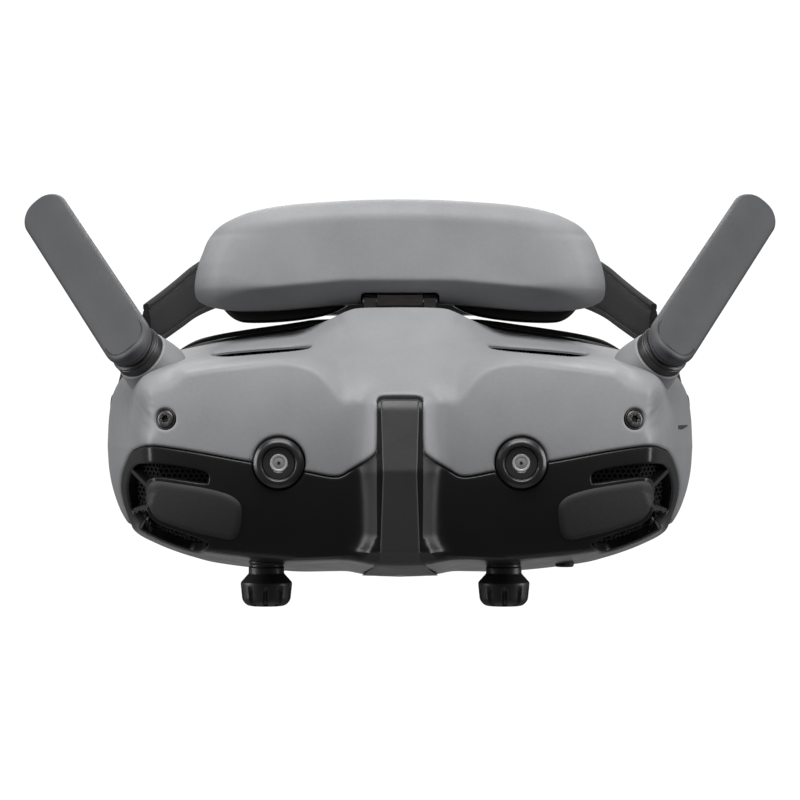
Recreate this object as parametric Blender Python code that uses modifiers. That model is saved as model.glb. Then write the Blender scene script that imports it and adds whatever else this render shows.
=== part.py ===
"""FPV goggles: a head-worn video display with folding antennas, a tilting forehead pad,
sliding eyepieces with focus knobs, and a headband that carries the battery.

Frame: metres, +Z up, +X to the wearer's left as seen from the front (image right), +Y towards
the back of the head. The origin is the middle of the face cushion's contact, between the eyes.
"""
import bpy
import bmesh
import math
import numpy as np
from mathutils import Vector, Matrix

for _o in list(bpy.data.objects):
    bpy.data.objects.remove(_o, do_unlink=True)

# ---------------------------------------------------------------- driving dimensions (millimetres)
MM = 0.001
GAP = 0.3
SHELL_WALL = 1.8
Y_EDGE = -22.0          # where the housing's flaring walls end
Y_BACK = -20.0          # rear edge of the housing shells
LENS_X = 31.1           # half the lens spacing at rest
IPD_IN, IPD_OUT = -3.1, 4.9
ROD_Y, ROD_Z = -31.0, 19.2
CAMERA_X, CAMERA_Z, CAMERA_R = 30.4, -2.2, 6.5
SCREW_X, SCREW_Z = 59.5, 8.8
KNOB_DX = -3.9          # both knobs sit this far to -X of their lens
KNOB_Y = -50.0
ANT_BASE = (66.9, -48.4, 24.3)
ANT_AXIS = (0.518, -0.642, 0.565)
ANT_BLADE = (0.393, 0.765, 0.510)
ANT_LENGTH, ANT_WIDTH, ANT_THICK = 78.0, 13.8, 4.5
PAD_HINGE = (0.0, -34.0, 40.2)
HINGE_HALF = 9.9
ARM_PIVOT = (77.4, -10.0, 10.0)

TOP_EDGE = [(0, 38.0), (10.5, 37.8), (14.5, 36.8), (18.5, 35.1), (22.8, 33.6), (28.5, 32.2), (38.6, 30.8), (49, 29.3),
            (57.8, 27.6), (64.5, 26.0), (70.6, 23.6), (75.2, 20.0), (77.9, 15.2), (79.0, 9.0), (79.4, 1.0)]
LOW_EDGE = [(0, -34.4), (7.6, -34.1), (11.5, -33.4), (14.4, -32.9), (19, -32.9), (26.6, -33.0), (33, -32.6), (41, -31.8),
            (50.2, -30.5), (55.4, -29.2), (60.5, -27.6), (66, -25.4), (71.5, -22.4), (75.2, -17.6), (77.6, -11.6),
            (78.9, -5.6), (79.4, 1.0)]
CORNER_X = 75.2
# half outline of the black lower front, on the -X side, from the lower corner to the nose pillar
SEAM = [(-72.2, -30.0), (-73.2, -18.6), (-74.6, -15.4), (-75.3, -10.6), (-74.2, -5.9), (-70.9, -0.3), (-67.1, 1.5),
        (-64.0, 2.1), (-58.9, 1.6), (-51.5, 0.5), (-38.1, -1.9), (-24.0, -4.3), (-17.5, -5.7), (-14.8, -5.7),
        (-12.3, -4.0), (-7.0, -0.5), (-6.1, 1.1), (-6.1, 13.3), (-5.0, 14.2)]
# outlines of the side intake recess, its bumper plate and the top vent, on the -X side
RECESS = [(-72.6, -13.1), (-72.6, -8.7), (-69.6, -3.1), (-64.0, -2.4), (-56.5, -3.1), (-49.1, -4.5), (-47.9, -5.0),
          (-47.4, -7.4), (-43.0, -8.3), (-40.2, -10.0), (-38.5, -12.8), (-38.8, -18.2), (-40.1, -22.0), (-43.5, -23.3),
          (-48.4, -23.1), (-51.3, -25.8), (-53.7, -26.6), (-58.9, -25.0), (-65.4, -22.0), (-69.2, -19.1), (-72.0, -16.5)]
BUMPER = [(-64.6, -8.0), (-62.5, -6.4), (-56.5, -7.2), (-48.3, -8.4), (-43.0, -9.8), (-40.6, -11.3), (-39.4, -13.2),
          (-39.7, -18.1), (-40.7, -21.3), (-43.2, -22.2), (-46.8, -21.3), (-51.7, -20.4), (-59.1, -18.1), (-61.6, -17.1),
          (-63.3, -15.4), (-64.1, -13.5), (-64.9, -11.3)]
VENT_TOP = [(-50.8, 26.1), (-44.9, 26.9), (-34.1, 27.7), (-23.7, 28.3), (-23.0, 27.5), (-29.7, 26.6), (-38.9, 25.9),
            (-45.6, 25.4)]
PAD_TOP = [(0, 67.2), (7.6, 67.1), (15.2, 66.8), (26.5, 66.1), (34.1, 65.2), (39.8, 64.0), (43.6, 62.6), (47.4, 60.8),
           (49.8, 59.0), (51.6, 56.6), (52.8, 53.6), (54.0, 50.4), (54.8, 46.6), (55.1, 43.4)]
PAD_LOW = [(0, 39.4), (12.8, 39.4), (16.5, 39.2), (21, 38.8), (27, 38.3), (33.4, 37.8), (42.7, 37.7), (48.9, 38.5), (52.8, 39.7),
           (54.5, 41.1), (55.1, 43.4)]
PAD_CORNER = 51.6
STRAP_PATH = [(69.3, 8, 35.5), (68.9, 35, 38.2), (67.2, 70, 42.6), (63.9, 105, 48.2), (57.8, 130, 52.8),
              (50.0, 143, 54.8), (45.2, 149.0, 55.6)]
STRAP_WIDTH = [13.0, 14.2, 15.2, 16.4, 17.8, 18.5, 18.5]

# ---------------------------------------------------------------- scene helpers
root = bpy.context.scene.collection
parts = bpy.data.collections.new("fpv_goggles")
cutters = bpy.data.collections.new("cutters")
root.children.link(parts)
root.children.link(cutters)

MATERIALS = {
    "shell_gray": ((0.215, 0.217, 0.222), 0.55, 0.0),
    "shell_black": ((0.012, 0.012, 0.013), 0.5, 0.0),
    "bumper_black": ((0.028, 0.028, 0.029), 0.8, 0.0),
    "antenna_gray": ((0.060, 0.061, 0.064), 0.6, 0.0),
    "knob_black": ((0.020, 0.020, 0.021), 0.5, 0.0),
    "face_foam": ((0.015, 0.015, 0.016), 0.95, 0.0),
    "strap_fabric": ((0.022, 0.022, 0.023), 0.9, 0.0),
    "gunmetal": ((0.05, 0.047, 0.043), 0.4, 1.0),
    "steel": ((0.35, 0.35, 0.36), 0.3, 1.0),
    "aluminium": ((0.55, 0.55, 0.56), 0.4, 1.0),
    "board_green": ((0.01, 0.06, 0.03), 0.5, 0.0),
    "optic_glass": ((0.25, 0.27, 0.30), 0.05, 0.0),
    "dark_glass": ((0.01, 0.01, 0.012), 0.08, 0.0),
    "cell_wrap": ((0.03, 0.05, 0.12), 0.5, 0.0),
}
_mats = {}


def material(slot):
    if slot not in _mats:
        m = bpy.data.materials.new(slot)
        m.use_nodes = True
        b = m.node_tree.nodes["Principled BSDF"]
        colour, rough, metal = MATERIALS[slot]
        b.inputs["Base Color"].default_value = (*colour, 1.0)
        b.inputs["Roughness"].default_value = rough
        b.inputs["Metallic"].default_value = metal
        _mats[slot] = m
    return _mats[slot]


def add(name, mesh, slot, smooth=35.0):
    obj = bpy.data.objects.new(name, mesh)
    if slot is None:
        cutters.objects.link(obj)
        obj.hide_render = True
        obj.display_type = "WIRE"
    else:
        parts.objects.link(obj)
        mesh.materials.clear()
        mesh.materials.append(material(slot))
        if smooth:
            mesh.shade_smooth()
            mesh.set_sharp_from_angle(angle=math.radians(smooth))
    return obj


def to_mesh(bm, name):
    bmesh.ops.recalc_face_normals(bm, faces=bm.faces[:])
    mesh = bpy.data.meshes.new(name)
    bm.to_mesh(mesh)
    bm.free()
    return mesh


def frame_matrix(origin, x, y, z):
    """Matrix whose columns are the axes x, y, z and whose origin is in millimetres."""
    m = Matrix.Identity(4)
    for i, a in enumerate((x, y, z)):
        for k in range(3):
            m[k][i] = a[k]
    for k in range(3):
        m[k][3] = origin[k] * MM
    return m


PLANES = {"XZ": ((1, 0, 0), (0, 0, 1), (0, -1, 0)), "XY": ((1, 0, 0), (0, 1, 0), (0, 0, 1)),
          "YZ": ((0, 1, 0), (0, 0, 1), (1, 0, 0))}


def outline_mesh(name, loops, lo, hi, plane="XZ", matrix=None, bevel=0.0):
    """Flat outline (millimetres) made solid between lo and hi along the plane's normal."""
    curve = bpy.data.curves.new(name, "CURVE")
    curve.dimensions = "2D"
    curve.fill_mode = "BOTH"
    curve.extrude = (hi - lo) / 2 * MM - bevel * MM
    curve.bevel_depth = bevel * MM
    curve.bevel_resolution = 1
    curve.offset = -bevel * MM
    for pts in loops:
        sp = curve.splines.new("POLY")
        sp.points.add(len(pts) - 1)
        for p, (u, v) in zip(sp.points, pts):
            p.co = (u * MM, v * MM, 0, 1)
        sp.use_cyclic_u = True
    tmp = bpy.data.objects.new(name, curve)
    root.objects.link(tmp)
    if matrix is None:
        u, v, w = PLANES[plane]
        mid = (lo + hi) / 2
        if plane == "XZ":
            mid = (lo + hi) / 2
            matrix = frame_matrix((0, mid, 0), u, v, w)
        elif plane == "XY":
            matrix = frame_matrix((0, 0, mid), u, v, w)
        else:
            matrix = frame_matrix((mid, 0, 0), u, v, w)
    tmp.matrix_world = matrix
    bpy.context.view_layer.update()
    dg = bpy.context.evaluated_depsgraph_get()
    mesh = bpy.data.meshes.new_from_object(tmp.evaluated_get(dg))
    mesh.transform(tmp.matrix_world)
    bpy.data.objects.remove(tmp, do_unlink=True)
    bpy.data.curves.remove(curve)
    bm = bmesh.new()
    bm.from_mesh(mesh)
    bmesh.ops.remove_doubles(bm, verts=bm.verts[:], dist=1e-6)
    bmesh.ops.recalc_face_normals(bm, faces=bm.faces[:])
    bm.to_mesh(mesh)
    bm.free()
    mesh.name = name
    return mesh


def plate(name, loops, lo, hi, slot, plane="XZ", bevel=0.0):
    return add(name, outline_mesh(name, loops, lo, hi, plane, bevel=bevel), slot)


def box_mesh(name, lo, hi, bevel=0.0):
    bm = bmesh.new()
    bmesh.ops.create_cube(bm, size=1.0)
    for v in bm.verts:
        for k in range(3):
            v.co[k] = ((lo[k] + hi[k]) / 2 + v.co[k] * (hi[k] - lo[k])) * MM
    if bevel:
        bmesh.ops.bevel(bm, geom=bm.edges[:], offset=bevel * MM, segments=1, affect="EDGES", profile=0.5)
    return to_mesh(bm, name)


def box(name, lo, hi, slot, bevel=0.0):
    return add(name, box_mesh(name, lo, hi, bevel), slot)


def axes_for(direction):
    """Right-handed frame whose third axis is the direction."""
    w = Vector(direction).normalized()
    u = Vector((0, 0, 1)).cross(w)
    if u.length < 1e-4:
        u = Vector((1, 0, 0))
    u.normalize()
    return u, w.cross(u), w


def turned_mesh(name, profile, origin, direction, steps=24):
    """Profile of (radius, height) in millimetres turned about the direction through the origin.
    The profile starts and ends on the axis, or closes on itself for a ring."""
    mesh = bpy.data.meshes.new(name)
    bm = bmesh.new()
    ring = profile[0][0] > 1e-6
    vs = [bm.verts.new((r * MM, 0, h * MM)) for r, h in profile]
    for a, b in zip(vs, vs[1:]):
        bm.edges.new((a, b))
    if ring:
        bm.edges.new((vs[-1], vs[0]))
    bm.to_mesh(mesh)
    bm.free()
    obj = bpy.data.objects.new(name, mesh)
    root.objects.link(obj)
    u, v, w = axes_for(direction)
    obj.matrix_world = frame_matrix(origin, u, v, w)
    mod = obj.modifiers.new("turn", "SCREW")
    mod.axis = "Z"
    mod.angle = math.tau
    mod.steps = mod.render_steps = steps
    mod.use_merge_vertices = True
    mod.merge_threshold = 1e-6
    bpy.context.view_layer.update()
    dg = bpy.context.evaluated_depsgraph_get()
    out = bpy.data.meshes.new_from_object(obj.evaluated_get(dg))
    out.transform(obj.matrix_world)
    bpy.data.objects.remove(obj, do_unlink=True)
    bm = bmesh.new()
    bm.from_mesh(out)
    bmesh.ops.remove_doubles(bm, verts=bm.verts[:], dist=1e-6)
    bmesh.ops.recalc_face_normals(bm, faces=bm.faces[:])
    bm.to_mesh(out)
    bm.free()
    out.name = name
    return out


def turned(name, profile, origin, direction, slot, steps=24):
    return add(name, turned_mesh(name, profile, origin, direction, steps), slot)


def grid_mesh(name, nx, nz, place):
    """Solid sheet: a flat grid given thickness, then bent. place(s, u, w) gives the point in
    millimetres for s, u in 0..1 across the sheet and w = 0 on its outer, 1 on its inner side."""
    bm = bmesh.new()
    bmesh.ops.create_grid(bm, x_segments=nx, y_segments=nz, size=0.5)
    for v in bm.verts:
        v.co = (v.co.x + 0.5, v.co.y + 0.5, 0)
    old = set(bm.verts)
    bmesh.ops.extrude_face_region(bm, geom=bm.faces[:], use_keep_orig=True)
    for v in bm.verts:
        if v not in old:
            v.co.z = 1.0
    table = np.array([v.co[:] for v in bm.verts])
    pos = place(table[:, 0], table[:, 1], table[:, 2])
    for v, p in zip(bm.verts, pos):
        v.co = Vector(p) * MM
    bmesh.ops.remove_doubles(bm, verts=bm.verts[:], dist=1e-6)
    return to_mesh(bm, name)


def boolean(obj, cutter_mesh, operation="DIFFERENCE"):
    cut = add(obj.name + "_cut", cutter_mesh, None)
    mod = obj.modifiers.new("cut", "BOOLEAN")
    mod.operation = operation
    mod.solver = "EXACT"
    mod.object = cut
    return cut


def mirrored(pts):
    return [(-u, v) for u, v in pts][::-1]


def flip_mesh(mesh, name):
    """Copy of a mesh reflected in the plane x = 0, with its faces still pointing out."""
    bm = bmesh.new()
    bm.from_mesh(mesh)
    for v in bm.verts:
        v.co.x = -v.co.x
    bmesh.ops.reverse_faces(bm, faces=bm.faces[:])
    bmesh.ops.recalc_face_normals(bm, faces=bm.faces[:])
    out = bpy.data.meshes.new(name)
    bm.to_mesh(out)
    bm.free()
    return out


def pair(stem, mesh_right, slot, smooth=35.0):
    """The two mirror copies of a piece, from the mesh of the one at +X."""
    r = add(stem + "_right", mesh_right, slot, smooth)
    l = add(stem + "_left", flip_mesh(mesh_right, stem + "_left"), slot, smooth)
    return l, r


def offset_loop(pts, d):
    """Closed outline moved outwards by d."""
    p = np.array(pts, float)
    area = 0.5 * np.sum(p[:, 0] * np.roll(p[:, 1], -1) - np.roll(p[:, 0], -1) * p[:, 1])
    sign = 1 if area > 0 else -1
    out = []
    n = len(p)
    for i in range(n):
        a, b, c = p[i - 1], p[i], p[(i + 1) % n]
        e1, e2 = (b - a) / np.linalg.norm(b - a), (c - b) / np.linalg.norm(c - b)
        n1, n2 = np.array([e1[1], -e1[0]]) * sign, np.array([e2[1], -e2[0]]) * sign
        m = n1 + n2
        m = m / max(np.linalg.norm(m), 1e-6)
        k = 1.0 / max(0.5, float(m @ n1))
        out.append(tuple(b + m * d * k))
    return out


# ---------------------------------------------------------------- form of the housing
def spline(points, n):
    p = np.array(points, float)
    p = np.vstack([2 * p[0] - p[1], p, 2 * p[-1] - p[-2]])
    out = []
    t = np.linspace(0, 1, n, endpoint=False)[:, None]
    for i in range(1, len(p) - 2):
        a, b, c, d = p[i - 1], p[i], p[i + 1], p[i + 2]
        out.append(0.5 * (2 * b + (c - a) * t + (2 * a - 5 * b + 4 * c - d) * t ** 2 + (3 * b - 3 * c + d - a) * t ** 3))
    out.append(p[-2][None, :])
    return np.vstack(out)


class Field:
    """Area inside an outline that is symmetric about x = 0, given by its top and low edges for x >= 0,
    with a grid of its own whose corners lie on the outline at corner_x."""

    def __init__(self, top_edge, low_edge, corner_x):
        self.top, self.low = spline(top_edge, 8), spline(low_edge, 8)
        self.top[:, 0] = np.maximum.accumulate(self.top[:, 0])
        self.low[:, 0] = np.maximum.accumulate(self.low[:, 0])
        half = np.vstack([self.top, self.low[::-1][1:]])
        self.ring = np.vstack([half, (half * [-1, 1])[::-1][1:-1]])
        k_top = int(np.argmin(np.abs(self.top[:, 0] - corner_x)))
        k_low = len(self.top) + int(np.argmin(np.abs(half[len(self.top):, 0] - corner_x)))
        self.side = half[k_top:k_low + 1][::-1]
        length = np.concatenate([[0], np.cumsum(np.hypot(*np.diff(self.side, axis=0).T))])
        self.side_len = length / length[-1]

    def z_top(self, x):
        return np.interp(np.abs(x), self.top[:, 0], self.top[:, 1])

    def z_low(self, x):
        return np.interp(np.abs(x), self.low[:, 0], self.low[:, 1])

    def edge_distance(self, x, z):
        """Distance to the outline and the direction towards it."""
        a, b = self.ring, np.roll(self.ring, -1, axis=0)
        centre = self.ring.mean(0)
        p = np.stack([np.ravel(x), np.ravel(z)], 1)
        best = np.full(len(p), 1e9)
        n = np.zeros((len(p), 2))
        for i in range(len(a)):
            ab = b[i] - a[i]
            l2 = ab @ ab
            if l2 < 1e-9:
                continue
            t = np.clip(((p - a[i]) @ ab) / l2, 0, 1)
            v = a[i] + t[:, None] * ab - p
            d = np.hypot(v[:, 0], v[:, 1])
            m = d < best
            best[m] = d[m]
            normal = np.array([ab[1], -ab[0]]) / math.sqrt(l2)
            if normal @ (a[i] + b[i] - 2 * centre) < 0:
                normal = -normal
            n[m] = np.where(d[m, None] > 1e-3, v[m] / np.maximum(d[m, None], 1e-6), normal)
        shape = np.shape(x)
        return best.reshape(shape), n[:, 0].reshape(shape), n[:, 1].reshape(shape)

    def place_xz(self, s, u):
        """Point of the area: s runs -1..1 across, u runs 0..1 from low to top."""
        side, xl, xt = self.side, s * self.side[0][0], s * self.side[-1][0]
        rx = np.interp(u, self.side_len, side[:, 0])
        rz = np.interp(u, self.side_len, side[:, 1])
        x = (1 - u) * xl + u * xt + s * rx - s * ((1 - u) * side[0][0] + u * side[-1][0])
        bow = np.abs(s)
        z = (1 - u) * self.z_low(xl) + u * self.z_top(xt) + bow * (rz - ((1 - u) * side[0][1] + u * side[-1][1]))
        return x, z


housing = Field(TOP_EDGE, LOW_EDGE, CORNER_X)


def step(a, b, x):
    t = np.clip((x - a) / (b - a), 0, 1)
    return t * t * (3 - 2 * t)


def smax(a, b, k):
    h = np.clip(0.5 + 0.5 * (a - b) / k, 0, 1)
    return b * (1 - h) + a * h + k * h * (1 - h)


def smin(a, b, k):
    return -smax(-a, -b, k)


def front_y(x, z):
    """Depth of the housing's outer front at x, z: two eye fields, a raised nose ridge that opens
    into the brow, and walls that run back to the outline."""
    x, z = np.asarray(x, float), np.asarray(z, float)
    ax = np.abs(x)
    up = np.maximum(z + 2, 0)
    down = np.maximum(-z - 2, 0)
    plan = -84.5 + 12.5 * (np.clip(ax - 12, 0, None) / 58) ** 2.3 + 3.0 * np.exp(-((ax - 2) / 11.0) ** 2)
    eye = plan + up ** 2 / 150 + down ** 2 / 100 * (0.55 + 0.45 * step(10, 30, ax))
    w = 5.8 + 14.0 * np.clip((z - 14.3) / 12.5, 0, None) ** 1.9 + 9.0 * step(-20, -36, z)
    nose = -89.0 + np.where(z > 13.5, (z - 13.5) * 1.72, 0) + np.clip(-4 - z, 0, None) * 0.16 \
        + np.clip(-24.5 - z, 0, None) * 1.75 + np.clip(z + 4, 0, 18) * 0.20
    cap = smin(eye, nose + 1.25 * np.clip(ax - w, 0, None), 3.2)
    d, nx, nz = housing.edge_distance(x, z)
    gap = housing.z_top(x) - z
    mix = step(34, 50, ax)
    dt = gap * (1 - mix) + d * mix
    ye = Y_EDGE - 24.0 * (1 - step(13, 30, ax))
    st = 1.75 + 5.6 * step(13, 32, ax)
    corner = step(0.3, 0.9, np.abs(nx)) * step(55, 70, ax)
    st = st * (1 - corner) + 3.6 * corner
    upper = step(-4, 6, z)
    side = step(0.35, 0.95, np.abs(nx))
    wall = ((ye - st * dt) * upper + (Y_EDGE - 9.0 * d) * (1 - upper)) * (1 - side) + (Y_EDGE - 3.6 * d) * side
    return smax(cap, wall, 6.0 + 3.0 * step(6, 16, z))


def front_normal(x, z, h=0.08):
    gx = (front_y(x + h, z) - front_y(x - h, z)) / (2 * h)
    gz = (front_y(x, z + h) - front_y(x, z - h)) / (2 * h)
    n = np.stack([gx, -np.ones_like(gx), gz], -1)
    return n / np.linalg.norm(n, axis=-1, keepdims=True)


def housing_sheet(name, s_list, u_list, outer, inner, to_back):
    """Sheet of the housing between two depths measured inwards from its outer face. With to_back,
    the sheet's rim runs on to the housing's rear edge."""
    s_list, u_list = np.asarray(s_list, float), np.asarray(u_list, float)
    ns, nu = len(s_list), len(u_list)
    extra = 2 if to_back else 0

    def place(a, b, w):
        i = np.rint(a * (ns - 1 + extra)).astype(int)
        k = np.rint(b * (nu - 1 + extra)).astype(int)
        if to_back:
            rim = (i == 0) | (i == ns + 1) | (k == 0) | (k == nu + 1)
            i = np.clip(i - 1, 0, ns - 1)
            k = np.clip(k - 1, 0, nu - 1)
        else:
            rim = np.zeros(len(a), bool)
        x, z = housing.place_xz(s_list[i], u_list[k])
        n = front_normal(x, z)
        y = front_y(x, z)
        d, ex, ez = housing.edge_distance(x, z)
        on_edge = d < 0.02
        flat = np.stack([ex, np.zeros_like(ex), ez], -1)
        n = np.where(on_edge[:, None], flat, n)
        depth = outer + (inner - outer) * w
        p = np.stack([x, y, z], -1) - n * depth[:, None]
        p[rim, 1] = Y_BACK
        return p

    return grid_mesh(name, ns - 1 + extra, nu - 1 + extra, place)


def warp(n, power):
    t = np.linspace(-1, 1, n)
    return np.sign(t) * (1 - (1 - np.abs(t)) ** power)


S_HALF = [0.0, 0.07, 0.115, 0.16, 0.22, 0.30, 0.42, 0.55, 0.68, 0.79, 0.88, 0.95, 1.0]
S_ALL = [-s for s in S_HALF[:0:-1]] + S_HALF
U_ALL = [0, 0.03, 0.08, 0.17, 0.30, 0.44, 0.57, 0.68, 0.78, 0.86, 0.92, 0.965, 1.0]

LOWER = SEAM + mirrored(SEAM) + [(72.2, -60.0), (-72.2, -60.0)]

# ---------------------------------------------------------------- housing shells
upper_shell = add("upper_shell", housing_sheet("upper_shell", S_ALL, U_ALL, 0, SHELL_WALL, True), "shell_gray")
boolean(upper_shell, outline_mesh("seam_cut", [offset_loop(LOWER, 0.15)], -110, 0))
lower_shell = add("lower_front_shell", housing_sheet("lower_front_shell", S_ALL, U_ALL, 0, SHELL_WALL, True),
                  "shell_black")
boolean(lower_shell, outline_mesh("seam_keep", [offset_loop(LOWER, -0.15)], -110, 0), "INTERSECT")


def circle(cx, cz, r, n=20):
    return [(cx + r * math.cos(math.tau * i / n), cz + r * math.sin(math.tau * i / n)) for i in range(n)]


def stadium(cx, cz, half, r, n=8):
    pts = [(cx + half + r * math.cos(a), cz + r * math.sin(a)) for a in np.linspace(-math.pi / 2, math.pi / 2, n)]
    pts += [(cx - half + r * math.cos(a), cz + r * math.sin(a)) for a in np.linspace(math.pi / 2, 1.5 * math.pi, n)]
    return pts


for sx in (-1, 1):
    hole = [(sx * CAMERA_X + x, CAMERA_Z + z) for x, z in circle(0, 0, CAMERA_R + GAP)]
    boolean(upper_shell, outline_mesh("camera_cut", [hole], -110, -60))
    boolean(lower_shell, outline_mesh("camera_cut", [hole], -110, -60))
    sy = float(front_y(np.array([SCREW_X]), np.array([SCREW_Z]))[0])
    n = front_normal(np.array([sx * SCREW_X]), np.array([SCREW_Z]))[0]
    boolean(upper_shell, turned_mesh("screw_cut", [(0, 6), (2.7, 6), (2.7, -6), (0, -6)], (sx * SCREW_X, sy, SCREW_Z), tuple(n), 12))
    loop = RECESS if sx < 0 else mirrored(RECESS)
    boolean(lower_shell, outline_mesh("recess_cut", [loop], -110, -37.5))
    loop = VENT_TOP if sx < 0 else mirrored(VENT_TOP)
    boolean(upper_shell, outline_mesh("vent_cut", [loop], -110, -22.5))
# slots under the knobs
for sx in (-1, 1):
    cx = sx * LENS_X + KNOB_DX
    mid = cx + (IPD_OUT + IPD_IN) / 2 * sx
    boolean(lower_shell, outline_mesh("knob_slot", [stadium(mid, KNOB_Y, 4.1, 5.1)], -45, -20, "XY"))
# port opening in the side wall, and the hole of the small button underneath
boolean(upper_shell, box_mesh("port_cut", (65, -42.2, -1.6), (90, -27.8, 7.2)))
boolean(lower_shell, turned_mesh("link_cut", [(0, -20), (2.9, -20), (2.9, -40), (0, -40)], (44, -34, 0), (0, 0, 1), 12))
a_ax = Vector(ANT_AXIS).normalized()
foot_cut = turned_mesh("foot_cut", [(0, 6), (7.9, 6), (7.9, 0.6), (9.9, -12.3), (0, -12.3)], ANT_BASE, a_ax, 20)
boolean(upper_shell, foot_cut)
boolean(upper_shell, flip_mesh(foot_cut, "foot_cut"))

# ---------------------------------------------------------------- intake grilles and bumper plates
S_PATCH = [0.50, 0.58, 0.66, 0.74, 0.82, 0.89, 0.94, 0.975, 0.995]
U_PATCH = [0.035, 0.08, 0.16, 0.26, 0.36, 0.46, 0.54]


def patch(stem, loop, outer, inner, slot, wide=0.0):
    """Mirror pair of housing patches cut to an outline given for the -X side."""
    pieces = []
    for side, sx in (("left", -1), ("right", 1)):
        s = [sx * v for v in S_PATCH][::sx]
        obj = add(f"{stem}_{side}", housing_sheet(f"{stem}_{side}", s, U_PATCH, outer, inner, False), slot)
        loop_side = loop if sx < 0 else mirrored(loop)
        boolean(obj, outline_mesh(stem, [offset_loop(loop_side, wide)], -110, -30), "INTERSECT")
        pieces.append(obj)
    return pieces


patch("intake_grille", RECESS, SHELL_WALL + 1.0, SHELL_WALL + 2.0, "shell_black", 0.6)
patch("bumper_plate", BUMPER, -0.2, SHELL_WALL, "bumper_black")

# ---------------------------------------------------------------- cameras, screws and top vents
for side, sx in (("left", -1), ("right", 1)):
    cy = float(front_y(np.array([CAMERA_X]), np.array([CAMERA_Z]))[0])
    o = (sx * CAMERA_X, cy, CAMERA_Z)
    f = (0, -1, 0)
    turned(f"camera_ring_{side}", [(4.1, -6.0), (4.1, 0.2), (4.7, 1.3), (5.9, 1.3), (CAMERA_R, 0.4), (CAMERA_R, -6.0)][::-1],
           o, f, "knob_black", 20)
    turned(f"camera_window_{side}", [(0, -0.6), (2.4, -0.7), (3.8, -0.9), (3.8, -5.8), (0, -5.8)], o, f, "dark_glass", 20)
    sy = float(front_y(np.array([SCREW_X]), np.array([SCREW_Z]))[0])
    n = front_normal(np.array([sx * SCREW_X]), np.array([SCREW_Z]))[0]
    screw = turned(f"front_screw_{side}", [(0, 0.1), (2.0, 0.1), (2.3, -0.3), (2.3, -1.4), (1.3, -1.4), (1.3, -6.0), (0, -6.0)],
                   (sx * SCREW_X, sy, SCREW_Z), (n[0], n[1], n[2]), "gunmetal", 12)
vent = []
for side, sx in (("left", -1), ("right", 1)):
    s = [sx * v for v in (0.30, 0.38, 0.46, 0.54, 0.62, 0.72)][::sx]
    g = add(f"top_grille_{side}", housing_sheet(f"top_grille_{side}", s, [0.80, 0.86, 0.91, 0.95, 0.98],
                                                SHELL_WALL + 0.7, SHELL_WALL + 1.5, False), "shell_black")
    loop = VENT_TOP if sx < 0 else mirrored(VENT_TOP)
    boolean(g, outline_mesh("vent_keep", [offset_loop(loop, 0.8)], -110, -24), "INTERSECT")

# ---------------------------------------------------------------- rear frame, face cushion, chassis
def frame_loop(shrink, rise, grow=0.0):
    """Outline of the rear frame, from the housing's outline."""
    pts = []
    for x, z in housing.ring[::4]:
        lift = rise * float(step(14, 27, abs(x))) if z > 8 else 0.0
        pts.append((x * shrink, z * (1.0 if z > 0 else 0.97) + lift))
    return offset_loop(pts, grow) if grow else pts


def dedupe(pts, d=1.2):
    out = [pts[0]]
    for p in pts[1:]:
        if math.hypot(p[0] - out[-1][0], p[1] - out[-1][1]) > d:
            out.append(p)
    if math.hypot(out[0][0] - out[-1][0], out[0][1] - out[-1][1]) < d:
        out.pop()
    return out


FRAME_OUT = dedupe(frame_loop(0.955, 1.7), 4.0)
FRAME_IN = dedupe(offset_loop(frame_loop(0.955, 1.7), -4.0), 5.5)
plate("rear_frame", [FRAME_OUT, FRAME_IN[::-1]], Y_BACK + GAP, -9.5, "shell_black")


def face_y(x):
    """Line where the cushion meets the face: deepest between the eyes, back at the temples."""
    return 12.5 * (np.abs(x) / 72.0) ** 2.1


def nose_lift(x, z, top):
    """Raises the lower edge over the nose."""
    return np.where(z < 0, top * np.exp(-(x / 13.0) ** 2), 0.0)


FOAM_OUT = dedupe(offset_loop(frame_loop(0.95, 0.9), -0.6), 4.0)
FOAM_IN = dedupe(offset_loop(frame_loop(0.95, 0.9), -9.5), 5.5)
foam_mesh = outline_mesh("face_foam", [FOAM_OUT, FOAM_IN[::-1]], -8.9, 0.0)
for v in foam_mesh.vertices:
    x, z = v.co.x / MM, v.co.z / MM
    v.co.z += float(nose_lift(x, z, 12.0)) * MM
    if v.co.y > -4 * MM:
        v.co.y = float(face_y(x)) * MM
add("face_foam", foam_mesh, "face_foam")

CHASSIS_OUT = [(-64, -12), (-61, -18.6), (-56.6, -22.4), (-50, -25.4), (50, -25.4), (56.6, -22.4), (61, -18.6), (64, -12),
               (64, 12), (61, 18.8), (57, 22.6), (50, 24.3), (-50, 24.3), (-57, 22.6), (-61, 18.8), (-64, 12)]
CHASSIS_IN = [(-56.6, -17), (-52, -22.4), (52, -22.4), (56.6, -17), (56.6, 17), (52, 22.4), (-52, 22.4), (-56.6, 17)]
chassis = plate("mid_chassis", [CHASSIS_OUT, CHASSIS_IN[::-1]], -34, -27.5, "shell_black")
for sz in (-1, 1):
    boolean(chassis, turned_mesh("rod_hole", [(0, 59.2), (1.5, 59.2), (1.5, -59.2), (0, -59.2)],
                                 (0, ROD_Y, sz * ROD_Z), (1, 0, 0), 12))
    turned("guide_rod_" + ("upper" if sz > 0 else "lower"), [(0, 58.8), (1.2, 58.8), (1.2, -58.8), (0, -58.8)],
           (0, ROD_Y, sz * ROD_Z), (1, 0, 0), "steel", 12)

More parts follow.
